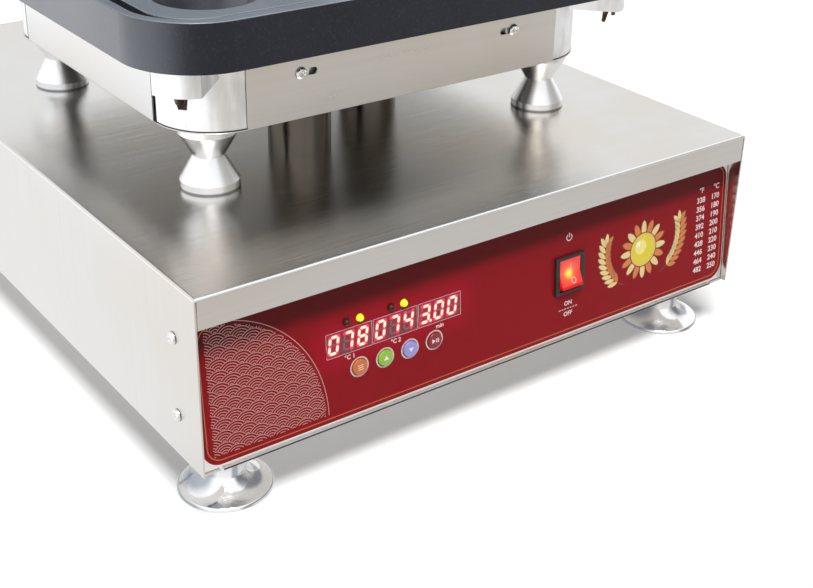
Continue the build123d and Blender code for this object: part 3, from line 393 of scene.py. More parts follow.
class PanelFilm:
    """Places on the leaning film, in mm: u to the right, v up from the panel's foot, n out of the film."""

    def __init__(self):
        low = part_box("panel_overlay")[0]
        self.lean = math.radians(4.45)
        self.foot = 2.8
        self.thick = 0.5 * MM
        self.y = low.y
        self.z = low.z + self.thick * math.sin(self.lean)

    def point(self, u, v, n=0.0):
        along = (v - self.foot) * MM
        out = n * MM
        return Vector((u * MM, self.y + along * math.sin(self.lean) - out * math.cos(self.lean),
                       self.z + along * math.cos(self.lean) + out * math.sin(self.lean)))

    def level(self, z):
        """The v of a height above the table."""
        return self.foot + (z - self.z) / (MM * math.cos(self.lean))

    def out(self):
        return Vector((0, -math.cos(self.lean), math.sin(self.lean)))

    def matrix(self, u, v, n):
        turn = Matrix.Rotation(math.radians(90) - self.lean, 4, "X")
        return Matrix.Translation(self.point(u, v, n)) @ turn


FILM = PanelFilm()


def middle_of(node):
    """The u and v of the middle of a node on the panel."""
    low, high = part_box(node)
    return (low.x + high.x) / 2 / MM, FILM.level((low.z + high.z) / 2)


def paint(mesh, finish):
    mesh.materials.clear()
    mesh.materials.append(finish.material)


def placed(name, mesh, finish):
    """A new object in one finish."""
    item = bpy.data.objects.new(name, mesh)
    bpy.context.scene.collection.objects.link(item)
    paint(mesh, finish)
    return item


def piece(name, mesh, body, finish):
    """A new piece in one finish that moves with a body."""
    item = placed(name, mesh, finish)
    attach(item, body)
    return item


def mesh_of(name, points, faces):
    mesh = bpy.data.meshes.new(name)
    mesh.from_pydata(points, [], faces)
    mesh.validate()
    return mesh


class Sheet:
    """Collects flat shapes on the film, or on the node in front of it, and makes one piece of them."""

    def __init__(self, n, node=None):
        self.n = n
        self.points = []
        self.faces = []
        self.ground = None
        if node:
            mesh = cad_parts[node].data
            corners = [corner.co for corner in mesh.vertices]
            self.ground = BVHTree.FromPolygons(corners, [face.vertices for face in mesh.polygons])

    def point(self, u, v):
        if self.ground is None:
            return FILM.point(u, v, self.n)
        hit = self.ground.ray_cast(FILM.point(u, v, 30.0), -FILM.out())[0]
        if hit is None:
            raise RuntimeError(f"nothing to print on at {u}, {v}")
        return hit + FILM.out() * (self.n * MM)

    def shape(self, outline):
        start = len(self.points)
        self.points += [self.point(u, v) for u, v in outline]
        self.faces.append(list(range(start, start + len(outline))))

    def line(self, path, width, closed=False):
        """A line of even width with mitred corners."""
        spots = [Vector(spot) for spot in path]
        count = len(spots)
        sides = []
        for i, spot in enumerate(spots):
            a = (spot - spots[i - 1]).normalized() if closed or i > 0 else None
            b = (spots[(i + 1) % count] - spot).normalized() if closed or i < count - 1 else None
            run = ((a or b) + (b or a)).normalized()
            across = Vector((-run.y, run.x)) * (width / 2)
            if a and b:
                across /= max(0.5, run.dot(a))
            sides.append((spot + across, spot - across))
        last = count if closed else count - 1
        for i in range(last):
            (p, q), (r, s) = sides[i], sides[(i + 1) % count]
            self.shape([q, s, r, p])

    def build(self, name, finish, slot="panel_film", body="base"):
        piece(name, mesh_of(name, self.points, self.faces), body, finish)


def ring_path(u, v, radius, count=40, start=0.0, sweep=360.0):
    """Points on a circle, or on the arc that starts at an angle and sweeps on from there, in degrees."""
    steps = count if sweep == 360.0 else count - 1
    angles = [math.radians(start + sweep * i / steps) for i in range(count)]
    return [(u + radius * math.cos(a), v + radius * math.sin(a)) for a in angles]


def rounded_path(u0, u1, v0, v1, radius, count=8):
    """Outline of a rectangle with round corners."""
    path = []
    for u, v, start in ((u1 - radius, v0 + radius, -90), (u1 - radius, v1 - radius, 0),
                        (u0 + radius, v1 - radius, 90), (u0 + radius, v0 + radius, 180)):
        path += ring_path(u, v, radius, count, start, 90.0)
    return path


def leaf_path(u, v, turn, length, width, blunt=0.7, count=9):
    """Outline of a petal, leaf or grain that starts at a point and runs off at an angle."""
    a = math.radians(turn)
    along, across = Vector((math.cos(a), math.sin(a))), Vector((-math.sin(a), math.cos(a)))

    def edge(i, side):
        swell = width / 2 * math.sin(math.pi * i / count) ** blunt
        return along * (length * i / count) + across * (side * swell)

    upper = [edge(i, 1) for i in range(count + 1)]
    lower = [edge(i, -1) for i in range(count - 1, 0, -1)]
    return [(u + p.x, v + p.y) for p in upper + lower]


# Size and thickening of the letters, as shares of their height
LETTER_SIZE, LETTER_WEIGHT = 1.38, 0.035


def lettering(name, words, finish):
    """Printed figures and short marks: words holds text, u, v of its middle, and its height in mm."""
    points, faces = [], []
    for text, u, v, height in words:
        curve = bpy.data.curves.new(name, "FONT")
        curve.body = text
        curve.size = height * LETTER_SIZE * MM
        curve.align_x = "CENTER"
        curve.align_y = "CENTER"
        curve.resolution_u = 3
        curve.offset = height * LETTER_WEIGHT * MM
        holder = bpy.data.objects.new(name, curve)
        flat = bpy.data.meshes.new_from_object(holder)
        place = FILM.matrix(u, v, 0.06)
        start = len(points)
        points += [place @ vertex.co for vertex in flat.vertices]
        faces += [[start + i for i in face.vertices] for face in flat.polygons]
        bpy.data.objects.remove(holder)
        bpy.data.curves.remove(curve)
        bpy.data.meshes.remove(flat)
    piece(name, mesh_of(name, points, faces), "base", finish)


# Displays: each segment by the ends of its middle line, in digit widths and half heights, and places in mm

SEGMENTS = {"a": ((0, 2), (1, 2)), "b": ((1, 2), (1, 1)), "c": ((1, 1), (1, 0)), "d": ((0, 0), (1, 0)),
            "e": ((0, 1), (0, 0)), "f": ((0, 2), (0, 1)), "g": ((0, 1), (1, 1))}
LIT = {"0": "abcdef", "3": "abcdg", "4": "bcfg", "7": "abc", "8": "abcdefg"}
WINDOW_HALF, WINDOW_FOOT, WINDOW_TOP = 18.4, 50.5, 68.5
DIGIT_START, DIGIT_PITCH, DIGIT_FOOT = -16.6, 11.7, 53.7
DIGIT_WIDTH, DIGIT_HEIGHT, DIGIT_LEAN = 6.3, 11.9, 0.14
POINT_SHIFT, POINT_LEVEL = -3.3, 53.6


def segment_ends(u, ends):
    """The two corners that a segment joins in a leaning digit at u."""
    half = DIGIT_HEIGHT / 2
    return [Vector((u + a * DIGIT_WIDTH + b * half * DIGIT_LEAN, DIGIT_FOOT + b * half)) for a, b in ends]


def glow_outline(p, q, thick):
    """Bar with round ends."""
    way = math.degrees(math.atan2(q.y - p.y, q.x - p.x))
    return ring_path(*q, thick / 2, 9, way - 90, 180.0) + ring_path(*p, thick / 2, 9, way + 90, 180.0)


def bar_outline(p, q, thick):
    """Six-sided bar."""
    run = (q - p).normalized()
    side = Vector((-run.y, run.x)) * thick / 2
    p, q = p + run * thick * 0.2, q - run * thick * 0.2
    nose = run * thick / 2
    corners = (p, p + nose - side, q - nose - side, q, q - nose + side, p + nose + side)
    return [tuple(corner) for corner in corners]


class SegmentSheet(Sheet):
    """One layer of the digits, with segments of one thickness and outline."""

    def __init__(self, n, thick, outline):
        super().__init__(n)
        self.thick = thick
        self.outline = outline

    def segment(self, p, q):
        self.shape(self.outline(p, q, self.thick))

    def dot(self, u, v):
        self.shape(ring_path(u, v, self.thick / 2, 12))


# Screws

def pan_head(center, out, radius, height, turn):
    """Points and faces of a pan head with a cross recess, on a polar grid. out is where the head faces."""
    rings, spokes = 14, 48
    arm_half, arm_reach, deepest, slope = 0.12, 0.56, 0.55, 0.4
    side = out.orthogonal().normalized()
    up = out.cross(side)
    points, faces = [center + out * (height * (1 - deepest))], []
    for ring in range(1, rings + 1):
        share = ring / rings
        for spoke in range(spokes):
            a = 2 * math.pi * spoke / spokes
            x, y = share * math.cos(a), share * math.sin(a)
            in_arm = min(abs(x), abs(y)) < arm_half and max(abs(x), abs(y)) < arm_reach
            depth = deepest - slope * share if in_arm else 0.0
            rise = (1 - share ** 5) ** 0.5 - depth
            place = side * math.cos(a + turn) + up * math.sin(a + turn)
            points.append(center + place * (radius * share) + out * (height * rise))
    for spoke in range(spokes):
        faces.append([0, 1 + spoke, 1 + (spoke + 1) % spokes])
    for ring in range(rings - 1):
        first, second = 1 + ring * spokes, 1 + (ring + 1) * spokes
        for spoke in range(spokes):
            after = (spoke + 1) % spokes
            faces.append([first + spoke, second + spoke, second + after, first + after])
    return points, faces


def shank(center, inward, radius, length):
    """Points and faces of a plain screw shank with a cone point."""
    spokes = 16
    side = inward.orthogonal().normalized()
    up = inward.cross(side)
    points = []
    for share, narrow in ((0.0, 1.0), (0.85, 1.0), (1.0, 0.4)):
        for spoke in range(spokes):
            a = 2 * math.pi * spoke / spokes
            place = side * math.cos(a) + up * math.sin(a)
            points.append(center + place * (radius * narrow) + inward * (length * share))
    faces = []
    for first, second in ((0, spokes), (spokes, 2 * spokes)):
        for spoke in range(spokes):
            after = (spoke + 1) % spokes
            faces.append([first + spoke, first + after, second + after, second + spoke])
    faces.append(list(range(2 * spokes, 3 * spokes)))
    return points, faces


def solids_of(node):
    """The corner points of each separate solid of a CAD node."""
    grid = bmesh.new()
    grid.from_mesh(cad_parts[node].data)
    bmesh.ops.remove_doubles(grid, verts=grid.verts, dist=1e-6)
    grid.verts.index_update()
    left = {corner.index: corner for corner in grid.verts}
    found = []
    while left:
        stack = [left.popitem()[1]]
        solid = []
        while stack:
            corner = stack.pop()
            solid.append(corner.co.copy())
            for edge in corner.link_edges:
                other = left.pop(edge.other_vert(corner).index, None)
                if other:
                    stack.append(other)
        found.append(solid)
    grid.free()
    return sorted(found, key=lambda solid: [round(c, 4) for c in sum(solid, Vector()) / len(solid)])


# Settings that a user would change

ColorProperty = partial(FloatVectorProperty, subtype="COLOR")


class StageSettings(bpy.types.PropertyGroup):
    lens: FloatProperty(name="Lens", description="The camera's focal length", default=58.79, unit="CAMERA")
    key: FloatProperty(name="Key light", description="Strength of the sun lamp", default=3.2)
    sky: FloatProperty(name="Studio", description="Brightness of the surrounding studio", default=0.22)
    fill: FloatProperty(name="Fill", description="Share of white in the floor as it is seen", default=0.16)
    floor: ColorProperty(name="Floor", description="Colour of the floor", default=(0.93, 0.93, 0.93))
    near: ColorProperty(name="Mirrored floor in front", description="What the hood's lip mirrors",
                        default=(0.69, 0.665, 0.645))
    far: ColorProperty(name="Mirrored floor further off", description="What the front flaps mirror",
                       default=(0.472, 0.412, 0.325))
    side: FloatProperty(name="Mirrored side", description="What the left side mirrors", default=1.05)
    room: ColorProperty(name="Mirrored room", description="What shiny faces mirror low at the front right",
                        default=(0.45, 0.44, 0.42))


class SteelSettings(bpy.types.PropertyGroup):
    sheet: ColorProperty(name="Sheet", description="Colour of the sheet", default=(0.74, 0.73, 0.715))
    casting: ColorProperty(name="Casting", description="Colour of castings", default=(0.95, 0.957, 0.97))
    coating: ColorProperty(name="Coating", description="Colour of the non-stick coating",
                           default=(0.006, 0.0075, 0.0135))
    rough: FloatProperty(name="Brush", description="Roughness of the sheet", default=0.18, min=0, max=1)


class PanelSettings(bpy.types.PropertyGroup):
    film: ColorProperty(name="Film", description="Colour of the film", default=(0.245, 0.004, 0.0085))
    ink: ColorProperty(name="Lines", description="Colour of the printed lines", default=(0.54, 0.3, 0.28))
    line: ColorProperty(name="Border", description="Colour of the border line", default=(0.5, 0.11, 0.03))
    lamp: ColorProperty(name="Switch", description="Colour of its lamp", default=(1.3, 0.75, 0.05))
    reading: StringProperty(name="Readings", description="What the displays show", default="078 074 3.00")


# Operators, one for each group of pieces

def dress(finish, *names):
    """Give CAD nodes a finish."""
    for name in names:
        paint(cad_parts[name].data, finish)


class TARTLET_OT_sheet_metal(bpy.types.Operator):
    """Brushed steel of the base box, the trays and the tubes"""

    bl_idname = "tartlet.sheet_metal"
    bl_label = "Sheet metal"

    def execute(self, context):
        steel = context.scene.tartlet_steel
        color, rough = steel.sheet, steel.rough
        # Painted shade: a darker copy of the sheet for the flaps' downward faces.
        dark = [c * 0.62 for c in color]
        across, tall, deep = (6.0, 2000.0, 2000.0), (6.0, 2000.0, 9.0), (6.0, 9.0, 2000.0)
        fine, fine_tall = (5.0, 2200.0, 2200.0), (5.0, 2200.0, 9.0)
        dress(brushed_finish("brushed_hood", color, rough, fine, fine_tall, 8e-5), "base_hood")
        panels = brushed_finish("brushed_panels", color, rough + 0.1, across, tall)
        dress(panels, "rear_panel")
        # The base plate's forward faces are painted near black, a painted shadow line at the foot of the
        # box.
        bottom = brushed_finish("brushed_bottom", color, rough + 0.1, across, cut=(0.06, 0.05, 0.045))
        dress(bottom, "base_plate")
        # The front panel is a brighter copy of the sheet, a painted highlight.
        dress(brushed_finish("painted_bright_panel_steel", (1.0, 0.99, 0.985), 0.24, across), "front_panel")
        flaps = brushed_finish("brushed_flaps", color, rough + 0.12, across, deep, 3e-5, dark)
        dress(flaps, "lower_tray", "upper_cover")
        shaded = [0.18 * color[0], 0.16 * color[1], 0.135 * color[2]]
        tube = brushed_finish("brushed_tube", shaded, rough, (500.0, 500.0, 8.0))
        dress(tube, "wiring_tube_front", "wiring_tube_rear")
        return {"FINISHED"}


class TARTLET_OT_posts_and_feet(bpy.types.Operator):
    """Turned posts and chromed bell feet"""

    bl_idname = "tartlet.posts_and_feet"
    bl_label = "Posts and feet"

    def execute(self, context):
        corners = ("front_left", "front_right", "rear_left", "rear_right")
        posts = turned_finish("turned_posts", (0.96, 0.965, 0.975), 0.22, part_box("post_front_left")[0].z)
        dress(posts, *("post_" + corner for corner in corners))
        # The feet's darker colour is the painted shade of their painted reflections.
        feet = foot_finish("chromed_feet", (1.0, 1.0, 1.0), (0.4, 0.425, 0.47))
        dress(feet, *("foot_" + corner for corner in corners))
        return {"FINISHED"}


class TARTLET_OT_heating_units(bpy.types.Operator):
    """Castings, mould plates and what heats them"""

    bl_idname = "tartlet.heating_units"
    bl_label = "Heating units"

    def execute(self, context):
        steel = context.scene.tartlet_steel
        castings = cast_finish("ground_casting", steel.casting, 0.34)
        dress(castings, "lower_heater_body", "upper_heater_body")
        plates = coated_finish("coated_plates", steel.coating, 0.28)
        dress(plates, "lower_mould_frame", "lower_mould_plate", "upper_punch_plate")
        sheath = cast_finish("heater_sheath", (0.36, 0.3, 0.26), 0.4)
        dress(sheath, "lower_element", "upper_element", "lower_sensor", "upper_sensor")
        wool = plastic_finish("mineral_wool", (0.7, 0.66, 0.5), 0.9, 300.0)
        dress(wool, "lower_insulation", "upper_insulation")
        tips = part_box("plate_pins")[0].z + 0.0004
        dress(pin_finish("burnt_pins", (0.03, 0.018, 0.014), tips, (0.5, 0.4, 0.33)), "plate_pins")
        return {"FINISHED"}


class TARTLET_OT_hinge_and_handle(bpy.types.Operator):
    """Hinge, stops and handle"""

    bl_idname = "tartlet.hinge_and_handle"
    bl_label = "Hinge and handle"

    def execute(self, context):
        steel = context.scene.tartlet_steel
        satin = brushed_finish("satin_hinge", steel.sheet, 0.32, (300.0, 20.0, 300.0))
        dress(satin, "hinge_bracket_left", "hinge_bracket_right", "hinge_arm_left", "hinge_arm_right",
              "hinge_pin", "lid_stops", "handle_bar")
        dress(turned_finish("brass_bushes", (0.75, 0.55, 0.25), 0.25), "hinge_bushes")
        dress(plastic_finish("bakelite_grip", (0.02, 0.02, 0.02), 0.35), "handle_grip")
        dress(plastic_finish("gland_nylon", (0.025, 0.025, 0.027), 0.45), "base_glands", "lid_gland")
        return {"FINISHED"}


class TARTLET_OT_inner_parts(bpy.types.Operator):
    """Electrical parts inside the base box"""

    bl_idname = "tartlet.inner_parts"
    bl_label = "Inner parts"

    def execute(self, context):
        dress(plastic_finish("board_lacquer", (0.04, 0.16, 0.06), 0.4), "control_board")
        dress(plastic_finish("relay_case", (0.03, 0.03, 0.035), 0.4), "heater_relays")
        dress(cast_finish("iron_core", (0.25, 0.25, 0.27), 0.5), "transformer")
        dress(plastic_finish("terminal_nylon", (0.75, 0.73, 0.68), 0.5), "terminal_block")
        zinc = cast_finish("plated_bolts", (0.7, 0.7, 0.68), 0.3)
        dress(zinc, "foot_bolts", "post_bolts", "board_spacers")
        return {"FINISHED"}


class TARTLET_OT_screws(bpy.types.Operator):
    """Pan-head screws with cross recesses"""

    bl_idname = "tartlet.screws"
    bl_label = "Screws"

    def execute(self, context):
        finish = chrome_finish("screw_steel", (0.82, 0.81, 0.79))
        bodies = {"case_screws": "base", "lower_tray_screws": "base", "upper_cover_screws": "lid"}
        first, step = 17, 37
        for node, body in bodies.items():
            points, faces = [], []
            for number, solid in enumerate(solids_of(node)):
                self.add_screw(points, faces, solid, math.radians(first + step * number))
            mesh = mesh_of(node, points, faces)
            mesh.shade_smooth()
            item = piece(node.replace("screws", "pan_heads"), mesh, body, finish)
            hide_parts(node)
        return {"FINISHED"}

    def add_screw(self, points, faces, solid, turn):
        """A screw in the place of a CAD one: its head is the wider end of the solid."""
        middle = sum(solid, Vector()) / len(solid)
        spread = [p - middle for p in solid]
        lid_up = (0, 0.174, 0.985)
        ways = [Vector(way) for way in ((1, 0, 0), (0, 1, 0), (0, 0, 1), lid_up)]
        ways += [-way for way in ways]
        out = min(ways, key=lambda way: self.miss(spread, way.normalized())).normalized()
        top = max(p.dot(out) for p in spread)
        foot = min(p.dot(out) for p in spread)
        radius = max((p - out * p.dot(out)).length for p in spread)
        rim = [p for p in solid if ((p - middle) - out * (p - middle).dot(out)).length > radius * 0.97]
        center = middle + out * ((sum(rim, Vector()) / len(rim) - middle).dot(out) - 0.0004)
        seat = (center - middle).dot(out)
        head = pan_head(center, out, radius, top - seat, turn)
        for new_points, new_faces in (head, shank(center, -out, radius * 0.45, seat - foot)):
            start = len(points)
            points += new_points
            faces += [[start + i for i in face] for face in new_faces]

    def miss(self, spread, way):
        """How badly a direction fits a round solid whose head is at its front end."""
        wide = [(p - way * p.dot(way)).length for p in spread]
        radius = max(wide)
        ends = [p.dot(way) for p, r in zip(spread, wide) if r > radius * 0.9]
        return radius + (0.0 if sum(ends) > 0 else 0.1)


class TARTLET_OT_film(bpy.types.Operator):
    """Printed film with its border, line pattern, figures and marks"""

    bl_idname = "tartlet.film"
    bl_label = "Printed film"

    def execute(self, context):
        panel = context.scene.tartlet_panel
        dress(film_finish(panel), "panel_overlay")
        border = Sheet(0.04)
        half, foot, top, radius = 238.8, 6.0, 101.4, 10.5
        border.line(rounded_path(-half, half, foot, top, radius), 0.8, closed=True)
        border.build("border_line", print_finish("border_ink", panel.line))
        self.scales(print_finish("line_ink", panel.ink))
        self.emblem()
        pale = print_finish("figure_ink", (0.8, 0.68, 0.66))
        self.figures(pale)
        self.switch_signs(pale)
        return {"FINISHED"}

    def figures(self, ink):
        """Table of two temperature scales, and the words under the switch and under the displays."""
        fahrenheit, celsius, switch = 213.2, 229.8, 70.0
        rows = [(row, 76.4 - 7.6 * row) for row in range(9)]
        words = [(str(338 + 18 * row), fahrenheit, v, 4.7) for row, v in rows]
        words += [(str(170 + 10 * row), celsius, v, 4.7) for row, v in rows]
        words += [("°F", fahrenheit + 0.2, 84.6, 4.4), ("°C", celsius + 0.8, 84.6, 4.4)]
        words += [("ON", switch, 28.2, 3.6), ("OFF", switch, 19.4, 3.6)]
        words += [("°C 1", -128.2, 47.0, 3.3), ("°C 2", -90.2, 47.0, 3.3), ("min", -52.2, 47.0, 3.3)]
        lettering("figures", words, ink)

    def switch_signs(self, ink):
        """Dashes between the switch's words, and a power sign over the switch."""
        marks = Sheet(0.05)
        switch, level, sign = 70.0, 23.8, 82.0
        for dash in range(7):
            u = switch - 9.2 + dash * 2.8
            marks.line([(u, level), (u + 1.7, level)], 0.6)
        marks.line(ring_path(switch, sign, 2.6, 24, 125, 290), 0.75)
        marks.line([(switch, sign - 0.2), (switch, sign + 3.6)], 0.75)
        marks.build("marks", ink)

    def scales(self, ink):
        """Overlapping fans of thin arcs, cut off by one wide arc."""
        lines = Sheet(0.04)
        wide, pen = 8.6, 0.5
        reach_u, reach_v, left, foot = 86.0, 92.0, -235.0, 9.0
        arcs = [wide * share for share in (1.0, 0.78, 0.56, 0.34, 0.13)]

        def shows(u, v, row_u, row_v):
            """Whether a point lies under the wide arc and outside the fans in front of its own."""
            under = math.hypot((u - left) / reach_u, (v - foot) / reach_v) < 1 and u > left and v > foot
            low = row_v - wide / 2
            fronts = ((row_u - wide, low), (row_u + wide, low), (row_u, row_v - wide))
            return under and all(math.dist((u, v), front) > wide * 1.02 for front in fronts)

        def draw_run(path):
            if len(path) > 1:
                lines.line(path, pen)

        for row in range(int(reach_v / wide * 2) + 2):
            row_v = foot + (row - 1) * wide / 2
            for column in range(int(reach_u / wide / 2) + 2):
                row_u = left + (2 * column + row % 2) * wide
                for radius in arcs:
                    path = []
                    for u, v in ring_path(row_u, row_v, radius, 25, 0, 180):
                        if shows(u, v, row_u, row_v):
                            path.append((u, v))
                        else:
                            draw_run(path)
                            path = []
                    draw_run(path)
        rim = 92 / 90
        draw_run([(left + u * reach_u, foot + v * reach_v) for u, v in ring_path(0, 0, rim, 60, 0, 90)])
        lines.build("scale_lines", ink)

    def emblem(self):
        """Sun disc with petals between two ears of wheat, in warm colours with brown outlines."""
        u, v = 149.0, 51.0
        dark = (0.16, 0.035, 0.01)
        brown, cream, orange = Sheet(0.04), Sheet(0.06), Sheet(0.06)

        def leaf(fill, x, y, way, length, width, rim=1.3, blunt=0.7):
            """A leaf on a brown one that is wider by rim."""
            brown.shape(leaf_path(x, y, way, length + 0.8, width + rim, blunt))
            fill.shape(leaf_path(x, y, way, length, width, blunt))

        for petal, root in enumerate(ring_path(u, v, 11.0, 16)):
            leaf(orange if petal % 2 else cream, *root, petal * 22.5, 13.4, 5.4, 1.2, 0.55)
        for side in (-1, 1):
            stem = []
            for turn in range(20, 101, 8):
                a = math.radians(turn)
                stem.append((u + side * (8 + 33 * math.sin(a)), v + 6.48 - 33.48 * math.cos(a)))
            brown.line(stem, 0.9)
            for (x0, y0), (x, y) in zip(stem[1:], stem[2:]):
                way = math.degrees(math.atan2(y - y0, x - x0))
                leaf(cream, x, y, way + 38, 10.4, 3.9)
                leaf(orange, x, y, way - 38, 10.4, 3.9)
            leaf(cream, x, y, way, 11.2, 4.1)
        brown.build("emblem_outlines", print_finish("outline_ink", dark))
        cream.build("emblem_cream", print_finish("cream_ink", (0.8, 0.6, 0.26)))
        orange.build("emblem_orange", print_finish("orange_ink", (0.66, 0.2, 0.045)))
        discs = (("outline", 14.6, 0, dark), ("rim", 13.8, 0, (0.78, 0.48, 0.13)),
                 ("yellow", 12.2, 0, (0.74, 0.6, 0.03)), ("light", 6.2, -2.8, (0.86, 0.76, 0.22)),
                 ("glint", 2.4, -5.6, (0.92, 0.88, 0.6)))
        for level, (name, radius, shift, color) in enumerate(discs):
            disc = Sheet(0.08 + 0.02 * level)
            disc.shape(ring_path(u + shift, v - shift, radius, 40))
            disc.build("disc_" + name, print_finish(f"disc_{name}_ink", color))


class TARTLET_OT_displays(bpy.types.Operator):
    """Three-digit displays with their lit segments"""

    bl_idname = "tartlet.displays"
    bl_label = "Displays"

    def execute(self, context):
        names = ("temperature_display_1", "temperature_display_2", "timer_display")
        dress(display_finish("display_face"), *names)
        frames, dark = Sheet(0.34), SegmentSheet(0.34, 1.6, bar_outline)
        halos, reds = SegmentSheet(0.36, 4.5, glow_outline), SegmentSheet(0.4, 3.0, glow_outline)
        cores = SegmentSheet(0.44, 2.05, bar_outline)
        for node, reading in zip(names, context.scene.tartlet_panel.reading.split()):
            middle = middle_of(node)[0]
            u0, u1 = middle - WINDOW_HALF, middle + WINDOW_HALF
            window = [(u0, WINDOW_FOOT), (u1, WINDOW_FOOT), (u1, WINDOW_TOP), (u0, WINDOW_TOP)]
            frames.line(window, 0.5, closed=True)
            place = 0
            for mark in reading:
                u = middle + DIGIT_START + place * DIGIT_PITCH
                if mark == ".":
                    for layer in (halos, reds, cores):
                        layer.dot(u + POINT_SHIFT, POINT_LEVEL)
                    continue
                for name, ends in SEGMENTS.items():
                    for layer in (halos, reds, cores) if name in LIT[mark] else (dark,):
                        layer.segment(*segment_ends(u, ends))
                place += 1
        slot = "display_plastic"
        frames.build("display_frames", print_finish("frame_ink", (0.7, 0.33, 0.35)), slot)
        dark.build("dark_segments", print_finish("dark_segment", (0.27, 0.1, 0.1)), slot)
        halos.build("segment_halos", glow_finish("segment_halo", (0.4, 0.006, 0.03), 1.0), slot)
        reds.build("segment_reds", glow_finish("segment_red", (1.0, 0.035, 0.11), 1.0), slot)
        cores.build("segment_cores", glow_finish("segment_core", (1.0, 0.84, 0.62), 1.2), slot)
        return {"FINISHED"}


class TARTLET_OT_keys_and_lamps(bpy.types.Operator):
    """Push buttons with printed rings and marks, and the round lamps"""

    bl_idname = "tartlet.keys_and_lamps"
    bl_label = "Keys and lamps"

    def execute(self, context):
        colors = {"button_set": (0.6, 0.14, 0.02), "button_up": (0.27, 0.5, 0.03),
                  "button_down": (0.31, 0.29, 0.66), "button_start": (0.26, 0.008, 0.014)}
        ring = print_finish("ring_ink", (0.62, 0.55, 0.53), 0.3)
        pale = print_finish("key_mark_ink", (0.82, 0.78, 0.74))
        rings = Sheet(0.05)
        row, radius = 37.2, 7.0
        for name, color in colors.items():
            dress(plastic_finish(name + "_cap", color, 0.3, 700.0, 0.3), name)
            u = middle_of(name)[0]
            rings.line(ring_path(u, row, radius), 1.1, closed=True)
            marks = Sheet(0.06, name)
            self.mark(marks, name, u, row)
            marks.build(name + "_mark", pale, body=name)
        rings.build("key_rings", ring)
        lamps = Finish("lamp_lens", roughness=0.35, specular_ior_level=0.25, emission_strength=1.0)
        lit_places, reach = (-0.1191, -0.0828), 0.004
        across = lamps.along("X")
        lit = sum(abs(across - place) < reach for place in lit_places)
        lamps.set("Base Color", lamps.between(lit, (0.06, 0.016, 0.01), (0.4, 0.6, 0.02)))
        lamps.set("Emission Color", lamps.between(lit, (0.0, 0.0, 0.0), (0.5, 0.74, 0.01)))
        dress(lamps, "indicator_leds")
        return {"FINISHED"}

    def mark(self, marks, name, u, v):
        """Plain sign: three bars to set, a triangle up or down, or one and two bars to start and pause."""
        if name == "button_set":
            for row in (-1.6, 0.0, 1.6):
                marks.line([(u - 2.2, v + row), (u + 2.2, v + row)], 0.55)
        elif name == "button_start":
            marks.shape([(u - 2.8, v - 1.7), (u - 0.2, v), (u - 2.8, v + 1.7)])
            marks.line([(u + 0.9, v - 1.6), (u + 0.9, v + 1.6)], 0.8)
            marks.line([(u + 2.4, v - 1.6), (u + 2.4, v + 1.6)], 0.8)
        else:
            way = 1 if name == "button_up" else -1
            marks.shape([(u - 2.2, v - 1.3 * way), (u + 2.2, v - 1.3 * way), (u, v + 2.0 * way)])


class TARTLET_OT_switch(bpy.types.Operator):
    """Lit rocker switch in its bezel"""

    bl_idname = "tartlet.switch"
    bl_label = "Switch"

    def execute(self, context):
        dress(rocker_finish(context.scene.tartlet_panel), "switch_rocker")
        dress(plastic_finish("bezel_nylon", (0.016, 0.017, 0.014), 0.4), "switch_bezel")
        u, v = middle_of("switch_bezel")
        marks = Sheet(0.08, "switch_rocker")
        marks.line([(u + 0.5, v + 4.4), (u + 0.5, v + 9.0)], 0.8)
        marks.line(ring_path(u + 2.0, v - 4.6, 2.0, 24), 0.75, closed=True)
        ink = print_finish("rocker_mark_ink", (0.95, 0.5, 0.42))
        marks.build("rocker_marks", ink, "red_switch", "switch_rocker")
        return {"FINISHED"}


# The photograph's camera: its place in metres, azimuth, dip and roll in degrees, and shift of the lens

CAMERA_PLACE = (-0.55828, -0.950105, 0.54866)
CAMERA_TURN = (37.58, 26.08, -1.6)
CAMERA_SHIFT = (-0.02224, -0.05878)


